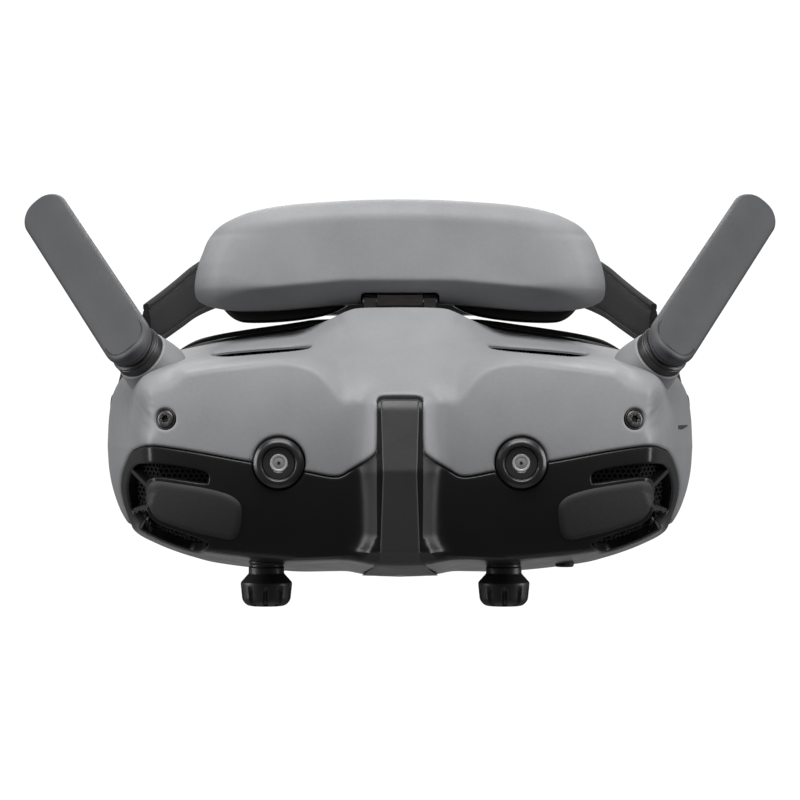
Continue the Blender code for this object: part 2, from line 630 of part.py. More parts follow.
# ---------------------------------------------------------------- electronics
box("main_board", (-50, -66.0, -17), (50, -64.4, 16), "board_green")
FAN_C = (0.0, -4.0)
plate("fan_housing", [[(-19, -21.5), (19, -21.5), (19, 13.5), (-19, 13.5)], circle(*FAN_C, 15.6, 24)[::-1]], -73.5, -66.3,
      "shell_black")
star = []
for i in range(11):
    a = math.tau * i / 11
    star += [(FAN_C[0] + 7.0 * math.cos(a), FAN_C[1] + 7.0 * math.sin(a)),
             (FAN_C[0] + 14.8 * math.cos(a + 0.16), FAN_C[1] + 14.8 * math.sin(a + 0.16)),
             (FAN_C[0] + 14.8 * math.cos(a + 0.30), FAN_C[1] + 14.8 * math.sin(a + 0.30)),
             (FAN_C[0] + 7.0 * math.cos(a + 0.30), FAN_C[1] + 7.0 * math.sin(a + 0.30))]
plate("fan_rotor", [star], -72.8, -66.9, "bumper_black")
for side, sx in (("left", -1), ("right", 1)):
    comb = [(21, -66.3), (47, -66.3), (47, -70.5)]
    for i in range(5):
        x = 45.4 - 4.6 * i
        comb += [(x, -70.5), (x, -68.0), (x - 2.8, -68.0), (x - 2.8, -70.5)]
    comb = comb[:3] + comb[3:]
    comb += [(21, -70.5)]
    comb = [(sx * a, b) for a, b in comb]
    plate(f"heat_sink_{side}", [comb], -14, 13, "aluminium", "XY")

# ---------------------------------------------------------------- eyepieces
CARRIAGE = [(-19, -17), (-14, -22), (14, -22), (19, -17), (19, 17), (14, 22), (-14, 22), (-19, 17)]
KNOB_PROFILE = [(0, -17.0), (1.8, -17.0), (1.8, -27.6), (4.7, -27.6), (4.7, -32.0), (6.75, -34.2), (6.75, -34.5), (6.3, -38.8), (4.9, -40.4), (0, -40.4)]
for side, sx in (("left", -1), ("right", 1)):
    lx = sx * LENS_X
    kx = lx + KNOB_DX
    carriage = plate(f"ipd_carriage_{side}", [[(lx + a, b) for a, b in CARRIAGE], circle(lx, 0, 16.7, 24)[::-1]],
                     -33.8, -28.2, "shell_black")
    for sz in (-1, 1):
        boolean(carriage, turned_mesh("rod_run", [(0, 60), (1.25, 60), (1.25, -60), (0, -60)],
                                      (0, ROD_Y, sz * ROD_Z), (1, 0, 0), 12))
    box(f"display_module_{side}", (lx - 15, -56, -14.5), (lx + 15, -43.5, 14.5), "dark_glass", 0.8)
    turned(f"lens_barrel_{side}", [(13.6, -14.4), (16.4, -14.4), (16.4, -40.0), (14.4, -40.0), (14.4, -24.6), (13.6, -23.4)],
           (lx, 0, 0), (0, 1, 0), "shell_black", 28)
    turned(f"eyepiece_lens_{side}", [(0, -26.2), (7, -26.8), (12, -28.2), (13.8, -29.4), (13.8, -32.4), (12, -33.0), (7, -34.0),
                                     (0, -34.4)], (lx, 0, 0), (0, 1, 0), "optic_glass", 24)
    knob = turned(f"focus_knob_{side}", KNOB_PROFILE, (kx, KNOB_Y, 0), (0, 0, 1), "knob_black", 20)
    for i in range(10):
        a = math.tau * (i + 0.5) / 10
        c = (kx + 7.2 * math.cos(a), KNOB_Y + 7.2 * math.sin(a))
        boolean(knob, turned_mesh("groove", [(0, -36.0), (1.05, -36.8), (1.05, -42.0), (0, -42.0)], (c[0], c[1], 0), (0, 0, 1), 6))
panel_out = dedupe(offset_loop([tuple(p) for p in housing.ring[::4]], -3.6), 6.0)
eyes = [stadium(sx * (LENS_X + (IPD_OUT + IPD_IN) / 2), 0, (IPD_OUT - IPD_IN) / 2 + 0.2, 16.8, 8)[::-1] for sx in (-1, 1)]
plate("lens_panel", [panel_out] + eyes, -26.9, -25.3, "shell_black")
box("proximity_window", (-5, -25.0, -16), (5, -23.4, -10), "dark_glass", 0.4)

# ---------------------------------------------------------------- forehead pad
hy, hz = PAD_HINGE[1], PAD_HINGE[2]
turned("hinge_pin", [(0, HINGE_HALF), (0.9, HINGE_HALF), (0.9, -HINGE_HALF), (0, -HINGE_HALF)], PAD_HINGE, (1, 0, 0), "steel", 12)
base = [(hy - 1.5, hz - 1.85), (hy + 11, hz - 1.85), (hy + 11, hz - 0.85), (hy + 2.3, hz - 0.85), (hy + 1.5, hz + 0.4),
        (hy + 0.7, hz + 1.6), (hy - 0.7, hz + 1.6), (hy - 1.5, hz + 0.6)]


def knuckle(name, outline, spans, slot):
    """Hinge leaf: one outline kept only where its knuckles are."""
    lo, hi = spans[0][0], spans[-1][1]
    obj = plate(name, [outline], lo, hi, slot, "YZ")
    for (a, b), (c, d) in zip(spans, spans[1:]):
        boolean(obj, box_mesh("gap", (b, hy - 3.5, hz - 4.6), (c, hy + 2.55, hz + 4.4)))
    boolean(obj, turned_mesh("pin_hole", [(0, 12), (1.2, 12), (1.2, -12), (0, -12)], PAD_HINGE, (1, 0, 0), 12))
    return obj


knuckle("hinge_base", base, [(-9.6, -6.4), (6.4, 9.6)], "gunmetal")
# the leaf on the pad turns the front up into the cover's notch
LEAF = [(hy - 1.7, hz - 1.4), (hy + 1.5, hz - 1.4), (hy + 1.9, hz), (hy + 1.6, hz + 1.4), (hy + 1.2, hz + 3.3), (hy + 1.2, hz + 10.4),
        (hy - 0.4, hz + 10.4), (hy - 0.4, hz + 2.0), (hy - 1.7, hz + 1.4)]
leaf = plate("hinge_leaf", [LEAF], -6.1, 6.1, "gunmetal", "YZ")
boolean(leaf, turned_mesh("pin_hole", [(0, 12), (1.2, 12), (1.2, -12), (0, -12)], PAD_HINGE, (1, 0, 0), 12))


def pad_y(x, z, front):
    """Depth of the pad at x, z; it bows back with the forehead."""
    return front + 9.0 * (np.abs(x) / 55.0) ** 2.2 + 0.10 * (z - 40.0)


def pad_piece(name, loop, front, back, slot, roll, nose=0.0):
    """Pad layer: an outline made solid, subdivided by rings towards its centre and bowed."""
    loop = [(a, b) for a, b in loop]
    rings = [(0.0, 1.0), (0.30 * roll, 0.42), (0.70 * roll, 0.13), (1.25 * roll, 0.0), (3.6 * roll, -0.04)]
    c = np.array([0.0, 53.0])
    bm = bmesh.new()
    rows = []
    for side in (0, 1):
        for inset, rise in (rings if side == 0 else [(0.0, 0.0)]):
            pts = offset_loop(loop, -inset) if inset else loop
            row = []
            for x, z in pts:
                y = float(pad_y(x, z, front)) + rise * roll if side == 0 else float(pad_y(x, z, back))
                row.append(bm.verts.new((x * MM, y * MM, z * MM)))
            rows.append(row)
    n = len(loop)
    order = rows[:5][::-1] + rows[5:]
    for a, b in zip(order, order[1:]):
        for i in range(n):
            bm.faces.new((a[i], a[(i + 1) % n], b[(i + 1) % n], b[i]))
    for row in (order[0], order[-1]):
        f = bm.faces.new(row)
    bmesh.ops.triangulate(bm, faces=[f for f in bm.faces if len(f.verts) > 4])
    return to_mesh(bm, name)


pad_field = Field(PAD_TOP, PAD_LOW, PAD_CORNER)


def pad_front(x, z):
    """Outer face of the pad cover: upright, rounded over at its outline, tucked under at the bottom."""
    d, nx, nz = pad_field.edge_distance(x, z)
    r = 9.0 + 4.0 * step(0.2, 0.9, nz)
    t = np.clip((r - d) / r, 0, 1)
    return pad_y(x, z, -43.5) + r * 1.15 * (1 - np.sqrt(np.clip(1 - t ** 2.2, 0, 1)))


def pad_place(a, b, w):
    s_all, u_all = PAD_S, PAD_U
    i = np.rint(a * (len(s_all) - 1)).astype(int)
    k = np.rint(b * (len(u_all) - 1)).astype(int)
    x, z = pad_field.place_xz(s_all[i], u_all[k])
    y = np.where(w < 0.5, pad_front(x, z), pad_y(x, z, -22.5))
    return np.stack([x, y, z], -1)


_h = [0, 0.2, 0.42, 0.62, 0.78, 0.89, 0.96, 1.0]
PAD_S = np.array([-v for v in _h[:0:-1]] + _h)
PAD_U = np.array([0, 0.02, 0.07, 0.17, 0.33, 0.55, 0.75, 0.88, 0.96, 1.0])
cover = add("pad_cover", grid_mesh("pad_cover", len(PAD_S) - 1, len(PAD_U) - 1, pad_place), "shell_gray")
BASE_LOOP = [(0, 62.5), (-25, 61.8), (-40, 59.6), (-47, 55), (-49.5, 48), (-50.0, 41.0), (-47.5, 37.2), (-44.4, 35.0), (-40.8, 34.6),
             (-33, 34.8), (-26, 35.5), (-20, 36.6), (-16.6, 37.9), (-13.4, 39.9), (-12.7, 44.7), (0, 44.7)]
base_loop = dedupe(BASE_LOOP + [(-a, b) for a, b in BASE_LOOP[-2:0:-1]], 0.5)
pad_base = add("pad_base", pad_piece("pad_base", base_loop, -22.0, -16.5, "shell_black", 0.8), "shell_black")
CUSHION_LOOP = [(0, 66), (-20, 65.4), (-36, 63.5), (-46, 59), (-50, 53), (-49, 47.5), (-44, 45), (-20, 44.6), (0, 44.4)]
cushion_loop = dedupe(CUSHION_LOOP + [(-a, b) for a, b in CUSHION_LOOP[-2:0:-1]], 0.5)
cushion_mesh = outline_mesh("pad_cushion", [cushion_loop], -14.5, 6.0, bevel=3.0)
for v in cushion_mesh.vertices:
    x, z = v.co.x / MM, v.co.z / MM
    v.co.y += (float(pad_y(x, z, 0)) + (0.06 * (z - 44) if v.co.y > -5 * MM else 0.0)) * MM
add("pad_cushion", cushion_mesh, "face_foam")
boolean(cover, box_mesh("leaf_room", (-12.2, hy - 30, 30), (12.2, hy + 30, hz + 2.1)))
boolean(cover, box_mesh("leaf_slot", (-6.4, hy - 2.2, hz - 1.6), (6.4, hy + 30, hz + 10.8)))

# ---------------------------------------------------------------- antennas
a_ax, a_bl = Vector(ANT_AXIS).normalized(), Vector(ANT_BLADE).normalized()
a_bl = (a_bl - a_ax * a_bl.dot(a_ax)).normalized()
a_side = a_bl.cross(a_ax).normalized()
foot = Vector(ANT_BASE)
base_mesh = turned_mesh("antenna_base", [(0, 1.7), (6.9, 1.7), (7.3, 1.3), (9.0, -9.6), (0, -9.6)], foot, a_ax, 20)
pair("antenna_base", base_mesh, "shell_gray")
collar_mesh = turned_mesh("antenna_collar", [(0, 5.1), (6.5, 5.1), (6.9, 4.7), (6.9, 4.4), (6.6, 4.1), (6.9, 3.8), (6.9, 2.0), (0, 2.0)],
                          foot, a_ax, 24)
pair("antenna_collar", collar_mesh, "knob_black")
hw = ANT_WIDTH / 2
blade = [(hw, 2.0), (hw, ANT_LENGTH - 5.5)]
blade += [(hw - 5.5 + 5.5 * math.cos(a), ANT_LENGTH - 5.5 + 5.5 * math.sin(a)) for a in np.linspace(0, math.pi / 2, 5)[1:]]
blade += [(-hw + 5.5 - 5.5 * math.sin(a), ANT_LENGTH - 5.5 + 5.5 * math.cos(a)) for a in np.linspace(0, math.pi / 2, 5)]
blade += [(-hw, 2.0)]
blade += [(-hw * math.cos(a), 2.0 - 9.0 * math.sin(a)) for a in np.linspace(0, math.pi, 11)[1:-1]]
mid = foot + a_ax * (5.4 + ANT_THICK / 2)
blade_mesh = outline_mesh("antenna_blade", [blade], -ANT_THICK / 2, ANT_THICK / 2, bevel=1.0,
                          matrix=frame_matrix(mid, a_side, a_bl, -a_ax if a_side.cross(a_bl).dot(a_ax) < 0 else a_ax))
pair("antenna_blade", blade_mesh, "antenna_gray")

# ---------------------------------------------------------------- headband
def ribbon(name, path, widths, thick, slot, rows=2):
    """Band along a path in plan, upright, with its width across the path."""
    p = spline(path, 4)
    wd = np.interp(np.linspace(0, len(widths) - 1, len(p)), range(len(widths)), widths)
    t = np.gradient(p, axis=0)
    t /= np.linalg.norm(t, axis=1)[:, None]
    up = np.array([0, 0, 1.0]) - t * t[:, 2:3]
    up /= np.linalg.norm(up, axis=1)[:, None]
    out = np.cross(t, up)
    out *= np.sign(out[:, 0:1] + 1e-9)

    def place(a, b, w):
        i = np.rint(a * (len(p) - 1)).astype(int)
        return p[i] + up[i] * ((b - 0.5) * wd[i])[:, None] + out[i] * ((0.5 - w) * thick)[:, None]

    return grid_mesh(name, len(p) - 1, rows, place)


ARM_PATH = [(77.9, -12.0, 3.0), (77.9, -9.0, 11.0), (77.4, -4.0, 20.0), (75.2, 2.0, 28.6), (72.9, 9.0, 34.6), (72.2, 22.0, 37.2)]
ARM_WIDTH = [11.0, 14.0, 14.0, 12.5, 12.0, 11.0]
p_arm = spline(ARM_PATH, 4)


def arm_place(a, b, w):
    i = np.rint(a * (len(p_arm) - 1)).astype(int)
    t = np.gradient(p_arm, axis=0)
    t /= np.linalg.norm(t, axis=1)[:, None]
    lean = np.array([1.0, 0, 0.0])
    nrm = lean - t * (t @ lean)[:, None]
    nrm /= np.linalg.norm(nrm, axis=1)[:, None]
    across = np.cross(nrm, t)
    wd = np.interp(np.linspace(0, len(ARM_WIDTH) - 1, len(p_arm)), range(len(ARM_WIDTH)), ARM_WIDTH)
    return p_arm[i] + across[i] * ((b - 0.5) * wd[i])[:, None] + nrm[i] * ((0.5 - w) * 2.2)[:, None]


pair("strap_arm", grid_mesh("strap_arm", len(p_arm) - 1, 2, arm_place), "shell_gray")
pair("strap", ribbon("strap", STRAP_PATH, STRAP_WIDTH, 2.4, "strap_fabric", 1), "strap_fabric")


def bow(mesh, depth=12.0, half=42.0):
    for v in mesh.vertices:
        v.co.y -= depth * MM * (v.co.x / MM / half) ** 2
    return mesh


def grid_box(name, lo, hi, cuts, bevel=0.0):
    bm = bmesh.new()
    bmesh.ops.create_cube(bm, size=1.0)
    for v in bm.verts:
        for k in range(3):
            v.co[k] = ((lo[k] + hi[k]) / 2 + v.co[k] * (hi[k] - lo[k])) * MM
    if bevel:
        bmesh.ops.bevel(bm, geom=bm.edges[:], offset=bevel * MM, segments=2, affect="EDGES", profile=0.5)
    for i in range(1, cuts):
        x = (lo[0] + (hi[0] - lo[0]) * i / cuts) * MM
        bmesh.ops.bisect_plane(bm, geom=bm.verts[:] + bm.edges[:] + bm.faces[:], plane_co=(x, 0, 0), plane_no=(1, 0, 0))
    return to_mesh(bm, name)


case = add("battery_case", bow(grid_box("battery_case", (-43, 160, 42), (43, 180, 74), 8, 4.0)), "shell_black")
boolean(case, bow(grid_box("cell_room", (-38, 163, 45), (38, 176, 71), 8)))
boolean(case, bow(grid_box("cover_room", (-34, 170, 47), (34, 190, 69), 8)))
add("battery_cells", bow(grid_box("battery_cells", (-33.4, 163.4, 47.6), (33.4, 174.5, 68.4), 6, 0.8)), "cell_wrap")
cover2 = add("battery_cover", bow(grid_box("battery_cover", (-33.7, 175.2, 47.3), (33.7, 181.0, 68.7), 8, 0.8)), "shell_black")
boolean(cover2, turned_mesh("dial_hole", [(0, 200), (8.6, 200), (8.6, 150), (0, 150)], (0, 0, 58), (0, 1, 0), 20))
boolean(cover2, turned_mesh("power_hole", [(0, 200), (3.4, 200), (3.4, 150), (0, 150)], (20, 0, 58), (0, 1, 0), 12))
turned("adjust_dial", [(0, 184.6), (6.9, 184.6), (8.0, 183.4), (8.0, 176.4), (0, 176.4)], (0, 0, 58), (0, 1, 0), "knob_black", 20)
turned("power_button", [(0, 180.6), (2.6, 180.6), (3.0, 180.2), (3.0, 177.0), (0, 177.0)], (20, 0, 58), (0, 1, 0), "bumper_black", 12)

# ---------------------------------------------------------------- side controls
port = add("port_cover", housing_sheet("port_cover", [0.84, 0.88, 0.92, 0.95, 0.975, 0.995], [0.40, 0.48, 0.56, 0.64, 0.72], 0.0, 1.3,
                                       False), "bumper_black")
boolean(port, box_mesh("port_keep", (60, -41.9, -1.3), (90, -28.1, 6.9)), "INTERSECT")
turned("link_button", [(0, -26.0), (2.5, -26.0), (2.5, -30.6), (2.2, -31.0), (0, -31.0)], (44, -34, 0), (0, 0, 1), "bumper_black", 12)
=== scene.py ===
"""FPV goggles: detailed pieces, finishes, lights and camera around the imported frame.

Numbers are millimetres in the part's own frame (+Z up, +X to image right, +Y to the back of the
head) and turn into metres where a mesh is made.
"""

import bpy
import bmesh
import math
import numpy as np
from mathutils import Vector, Matrix
from mathutils.geometry import delaunay_2d_cdt


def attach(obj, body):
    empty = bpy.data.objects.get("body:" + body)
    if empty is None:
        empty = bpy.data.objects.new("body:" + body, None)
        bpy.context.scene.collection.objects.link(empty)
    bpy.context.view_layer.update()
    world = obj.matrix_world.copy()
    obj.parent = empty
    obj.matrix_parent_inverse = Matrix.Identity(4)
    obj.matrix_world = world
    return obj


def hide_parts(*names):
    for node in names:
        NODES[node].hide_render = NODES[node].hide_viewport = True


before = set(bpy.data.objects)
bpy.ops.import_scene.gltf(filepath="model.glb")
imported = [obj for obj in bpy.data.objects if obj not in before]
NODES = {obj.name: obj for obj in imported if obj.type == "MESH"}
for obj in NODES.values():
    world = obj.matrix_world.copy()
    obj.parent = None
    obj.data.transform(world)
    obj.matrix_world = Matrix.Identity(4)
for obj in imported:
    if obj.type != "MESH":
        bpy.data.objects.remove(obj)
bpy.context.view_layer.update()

# ---------------------------------------------------------------- the part's own design numbers
MM = 0.001
GAP = 0.3
SHELL_WALL = 1.8
Y_EDGE = -22.0          # where the housing's flaring walls end
Y_BACK = -20.0          # rear edge of the housing shells
LENS_X = 31.1           # half the lens spacing at rest
IPD_IN, IPD_OUT = -3.1, 4.9
ROD_Y, ROD_Z = -31.0, 19.2
CAMERA_X, CAMERA_Z, CAMERA_R = 30.4, -2.2, 6.5
SCREW_X, SCREW_Z = 59.5, 8.8
KNOB_DX = -3.9          # both knobs sit this far to -X of their lens
KNOB_Y = -50.0
ANT_BASE = (66.9, -48.4, 24.3)
ANT_AXIS = (0.518, -0.642, 0.565)
ANT_BLADE = (0.393, 0.765, 0.510)
ANT_LENGTH, ANT_WIDTH, ANT_THICK = 78.0, 13.8, 4.5
PAD_HINGE = (0.0, -34.0, 40.2)
HINGE_HALF = 9.9
ARM_PIVOT = (77.4, -10.0, 10.0)

TOP_EDGE = [(0, 38.0), (10.5, 37.8), (14.5, 36.8), (18.5, 35.1), (22.8, 33.6), (28.5, 32.2), (38.6, 30.8), (49, 29.3),
            (57.8, 27.6), (64.5, 26.0), (70.6, 23.6), (75.2, 20.0), (77.9, 15.2), (79.0, 9.0), (79.4, 1.0)]
LOW_EDGE = [(0, -34.4), (7.6, -34.1), (11.5, -33.4), (14.4, -32.9), (19, -32.9), (26.6, -33.0), (33, -32.6), (41, -31.8),
            (50.2, -30.5), (55.4, -29.2), (60.5, -27.6), (66, -25.4), (71.5, -22.4), (75.2, -17.6), (77.6, -11.6),
            (78.9, -5.6), (79.4, 1.0)]
CORNER_X = 75.2
# half outline of the black lower front, on the -X side, from the lower corner to the nose pillar
SEAM = [(-72.2, -30.0), (-73.2, -18.6), (-74.6, -15.4), (-75.3, -10.6), (-74.2, -5.9), (-70.9, -0.3), (-67.1, 1.5),
        (-64.0, 2.1), (-58.9, 1.6), (-51.5, 0.5), (-38.1, -1.9), (-24.0, -4.3), (-17.5, -5.7), (-14.8, -5.7),
        (-12.3, -4.0), (-7.0, -0.5), (-6.1, 1.1), (-6.1, 13.3), (-5.0, 14.2)]
# outlines of the side intake recess, its bumper plate and the top vent, on the -X side
RECESS = [(-72.6, -13.1), (-72.6, -8.7), (-69.6, -3.1), (-64.0, -2.4), (-56.5, -3.1), (-49.1, -4.5), (-47.9, -5.0),
          (-47.4, -7.4), (-43.0, -8.3), (-40.2, -10.0), (-38.5, -12.8), (-38.8, -18.2), (-40.1, -22.0), (-43.5, -23.3),
          (-48.4, -23.1), (-51.3, -25.8), (-53.7, -26.6), (-58.9, -25.0), (-65.4, -22.0), (-69.2, -19.1), (-72.0, -16.5)]
BUMPER = [(-64.6, -8.0), (-62.5, -6.4), (-56.5, -7.2), (-48.3, -8.4), (-43.0, -9.8), (-40.6, -11.3), (-39.4, -13.2),
          (-39.7, -18.1), (-40.7, -21.3), (-43.2, -22.2), (-46.8, -21.3), (-51.7, -20.4), (-59.1, -18.1), (-61.6, -17.1),
          (-63.3, -15.4), (-64.1, -13.5), (-64.9, -11.3)]
VENT_TOP = [(-50.8, 26.1), (-44.9, 26.9), (-34.1, 27.7), (-23.7, 28.3), (-23.0, 27.5), (-29.7, 26.6), (-38.9, 25.9),
            (-45.6, 25.4)]
PAD_TOP = [(0, 67.2), (7.6, 67.1), (15.2, 66.8), (26.5, 66.1), (34.1, 65.2), (39.8, 64.0), (43.6, 62.6), (47.4, 60.8),
           (49.8, 59.0), (51.6, 56.6), (52.8, 53.6), (54.0, 50.4), (54.8, 46.6), (55.1, 43.4)]
PAD_LOW = [(0, 39.4), (12.8, 39.4), (16.5, 39.2), (21, 38.8), (27, 38.3), (33.4, 37.8), (42.7, 37.7), (48.9, 38.5), (52.8, 39.7),
           (54.5, 41.1), (55.1, 43.4)]
PAD_CORNER = 51.6
STRAP_PATH = [(69.3, 8, 35.5), (68.9, 35, 38.2), (67.2, 70, 42.6), (63.9, 105, 48.2), (57.8, 130, 52.8),
              (50.0, 143, 54.8), (45.2, 149.0, 55.6)]
STRAP_WIDTH = [13.0, 14.2, 15.2, 16.4, 17.8, 18.5, 18.5]


def mirrored(pts):
    return [(-u, v) for u, v in pts][::-1]


def offset_loop(pts, d):
    """Closed outline moved outwards by d."""
    p = np.array(pts, float)
    area = 0.5 * np.sum(p[:, 0] * np.roll(p[:, 1], -1) - np.roll(p[:, 0], -1) * p[:, 1])
    sign = 1 if area > 0 else -1
    out = []
    n = len(p)
    for i in range(n):
        a, b, c = p[i - 1], p[i], p[(i + 1) % n]
        e1, e2 = (b - a) / np.linalg.norm(b - a), (c - b) / np.linalg.norm(c - b)
        n1, n2 = np.array([e1[1], -e1[0]]) * sign, np.array([e2[1], -e2[0]]) * sign
        m = n1 + n2
        m = m / max(np.linalg.norm(m), 1e-6)
        k = 1.0 / max(0.5, float(m @ n1))
        out.append(tuple(b + m * d * k))
    return out


def spline(points, n):
    p = np.array(points, float)
    p = np.vstack([2 * p[0] - p[1], p, 2 * p[-1] - p[-2]])
    out = []
    t = np.linspace(0, 1, n, endpoint=False)[:, None]
    for i in range(1, len(p) - 2):
        a, b, c, d = p[i - 1], p[i], p[i + 1], p[i + 2]
        out.append(0.5 * (2 * b + (c - a) * t + (2 * a - 5 * b + 4 * c - d) * t ** 2 + (3 * b - 3 * c + d - a) * t ** 3))
    out.append(p[-2][None, :])
    return np.vstack(out)


class Field:
    """Area inside an outline that is symmetric about x = 0, given by its top and low edges for x >= 0,
    with a grid of its own whose corners lie on the outline at corner_x."""

    def __init__(self, top_edge, low_edge, corner_x):
        self.top, self.low = spline(top_edge, 8), spline(low_edge, 8)
        self.top[:, 0] = np.maximum.accumulate(self.top[:, 0])
        self.low[:, 0] = np.maximum.accumulate(self.low[:, 0])
        half = np.vstack([self.top, self.low[::-1][1:]])
        self.ring = np.vstack([half, (half * [-1, 1])[::-1][1:-1]])
        k_top = int(np.argmin(np.abs(self.top[:, 0] - corner_x)))
        k_low = len(self.top) + int(np.argmin(np.abs(half[len(self.top):, 0] - corner_x)))
        self.side = half[k_top:k_low + 1][::-1]
        length = np.concatenate([[0], np.cumsum(np.hypot(*np.diff(self.side, axis=0).T))])
        self.side_len = length / length[-1]

    def z_top(self, x):
        return np.interp(np.abs(x), self.top[:, 0], self.top[:, 1])

    def z_low(self, x):
        return np.interp(np.abs(x), self.low[:, 0], self.low[:, 1])

    def edge_distance(self, x, z):
        """Distance to the outline and the direction towards it."""
        a, b = self.ring, np.roll(self.ring, -1, axis=0)
        centre = self.ring.mean(0)
        p = np.stack([np.ravel(x), np.ravel(z)], 1)
        best = np.full(len(p), 1e9)
        n = np.zeros((len(p), 2))
        for i in range(len(a)):
            ab = b[i] - a[i]
            l2 = ab @ ab
            if l2 < 1e-9:
                continue
            t = np.clip(((p - a[i]) @ ab) / l2, 0, 1)
            v = a[i] + t[:, None] * ab - p
            d = np.hypot(v[:, 0], v[:, 1])
            m = d < best
            best[m] = d[m]
            normal = np.array([ab[1], -ab[0]]) / math.sqrt(l2)
            if normal @ (a[i] + b[i] - 2 * centre) < 0:
                normal = -normal
            n[m] = np.where(d[m, None] > 1e-3, v[m] / np.maximum(d[m, None], 1e-6), normal)
        shape = np.shape(x)
        return best.reshape(shape), n[:, 0].reshape(shape), n[:, 1].reshape(shape)

    def place_xz(self, s, u):
        """Point of the area: s runs -1..1 across, u runs 0..1 from low to top."""
        side, xl, xt = self.side, s * self.side[0][0], s * self.side[-1][0]
        rx = np.interp(u, self.side_len, side[:, 0])
        rz = np.interp(u, self.side_len, side[:, 1])
        x = (1 - u) * xl + u * xt + s * rx - s * ((1 - u) * side[0][0] + u * side[-1][0])
        bow = np.abs(s)
        z = (1 - u) * self.z_low(xl) + u * self.z_top(xt) + bow * (rz - ((1 - u) * side[0][1] + u * side[-1][1]))
        return x, z


housing = Field(TOP_EDGE, LOW_EDGE, CORNER_X)


def step(a, b, x):
    t = np.clip((x - a) / (b - a), 0, 1)
    return t * t * (3 - 2 * t)


def smax(a, b, k):
    h = np.clip(0.5 + 0.5 * (a - b) / k, 0, 1)
    return b * (1 - h) + a * h + k * h * (1 - h)


def smin(a, b, k):
    return -smax(-a, -b, k)


def front_y(x, z):
    """Depth of the housing's outer front at x, z: two eye fields, a raised nose ridge that opens
    into the brow, and walls that run back to the outline."""
    x, z = np.asarray(x, float), np.asarray(z, float)
    ax = np.abs(x)
    up = np.maximum(z + 2, 0)
    down = np.maximum(-z - 2, 0)
    plan = -84.5 + 12.5 * (np.clip(ax - 12, 0, None) / 58) ** 2.3 + 3.0 * np.exp(-((ax - 2) / 11.0) ** 2)
    eye = plan + up ** 2 / 150 + down ** 2 / 100 * (0.55 + 0.45 * step(10, 30, ax))
    w = 5.8 + 14.0 * np.clip((z - 14.3) / 12.5, 0, None) ** 1.9 + 9.0 * step(-20, -36, z)
    nose = -89.0 + np.where(z > 13.5, (z - 13.5) * 1.72, 0) + np.clip(-4 - z, 0, None) * 0.16 \
        + np.clip(-24.5 - z, 0, None) * 1.75 + np.clip(z + 4, 0, 18) * 0.20
    cap = smin(eye, nose + 1.25 * np.clip(ax - w, 0, None), 3.2)
    d, nx, nz = housing.edge_distance(x, z)
    gap = housing.z_top(x) - z
    mix = step(34, 50, ax)
    dt = gap * (1 - mix) + d * mix
    ye = Y_EDGE - 24.0 * (1 - step(13, 30, ax))
    st = 1.75 + 5.6 * step(13, 32, ax)
    corner = step(0.3, 0.9, np.abs(nx)) * step(55, 70, ax)
    st = st * (1 - corner) + 3.6 * corner
    upper = step(-4, 6, z)
    side = step(0.35, 0.95, np.abs(nx))
    wall = ((ye - st * dt) * upper + (Y_EDGE - 9.0 * d) * (1 - upper)) * (1 - side) + (Y_EDGE - 3.6 * d) * side
    return smax(cap, wall, 6.0 + 3.0 * step(6, 16, z))


def front_normal(x, z, h=0.08):
    gx = (front_y(x + h, z) - front_y(x - h, z)) / (2 * h)
    gz = (front_y(x, z + h) - front_y(x, z - h)) / (2 * h)
    n = np.stack([gx, -np.ones_like(gx), gz], -1)
    return n / np.linalg.norm(n, axis=-1, keepdims=True)


LOWER = SEAM + mirrored(SEAM) + [(72.2, -60.0), (-72.2, -60.0)]



def circle(cx, cz, r, n=20):
    return [(cx + r * math.cos(math.tau * i / n), cz + r * math.sin(math.tau * i / n)) for i in range(n)]


def stadium(cx, cz, half, r, n=8):
    pts = [(cx + half + r * math.cos(a), cz + r * math.sin(a)) for a in np.linspace(-math.pi / 2, math.pi / 2, n)]
    pts += [(cx - half + r * math.cos(a), cz + r * math.sin(a)) for a in np.linspace(math.pi / 2, 1.5 * math.pi, n)]
    return pts




def frame_loop(shrink, rise, grow=0.0):
    """Outline of the rear frame, from the housing's outline."""
    pts = []
    for x, z in housing.ring[::4]:
        lift = rise * float(step(14, 27, abs(x))) if z > 8 else 0.0
        pts.append((x * shrink, z * (1.0 if z > 0 else 0.97) + lift))
    return offset_loop(pts, grow) if grow else pts


def dedupe(pts, d=1.2):
    out = [pts[0]]
    for p in pts[1:]:
        if math.hypot(p[0] - out[-1][0], p[1] - out[-1][1]) > d:
            out.append(p)
    if math.hypot(out[0][0] - out[-1][0], out[0][1] - out[-1][1]) < d:
        out.pop()
    return out



def face_y(x):
    """Line where the cushion meets the face: deepest between the eyes, back at the temples."""
    return 12.5 * (np.abs(x) / 72.0) ** 2.1


def nose_lift(x, z, top):
    """Raises the lower edge over the nose."""
    return np.where(z < 0, top * np.exp(-(x / 13.0) ** 2), 0.0)


def pad_y(x, z, front):
    """Depth of the pad at x, z; it bows back with the forehead."""
    return front + 9.0 * (np.abs(x) / 55.0) ** 2.2 + 0.10 * (z - 40.0)


pad_field = Field(PAD_TOP, PAD_LOW, PAD_CORNER)


def pad_front(x, z):
    """Outer face of the pad cover: upright, rounded over at its outline, tucked under at the bottom."""
    d, nx, nz = pad_field.edge_distance(x, z)
    r = 9.0 + 4.0 * step(0.2, 0.9, nz)
    t = np.clip((r - d) / r, 0, 1)
    return pad_y(x, z, -43.5) + r * 1.15 * (1 - np.sqrt(np.clip(1 - t ** 2.2, 0, 1)))


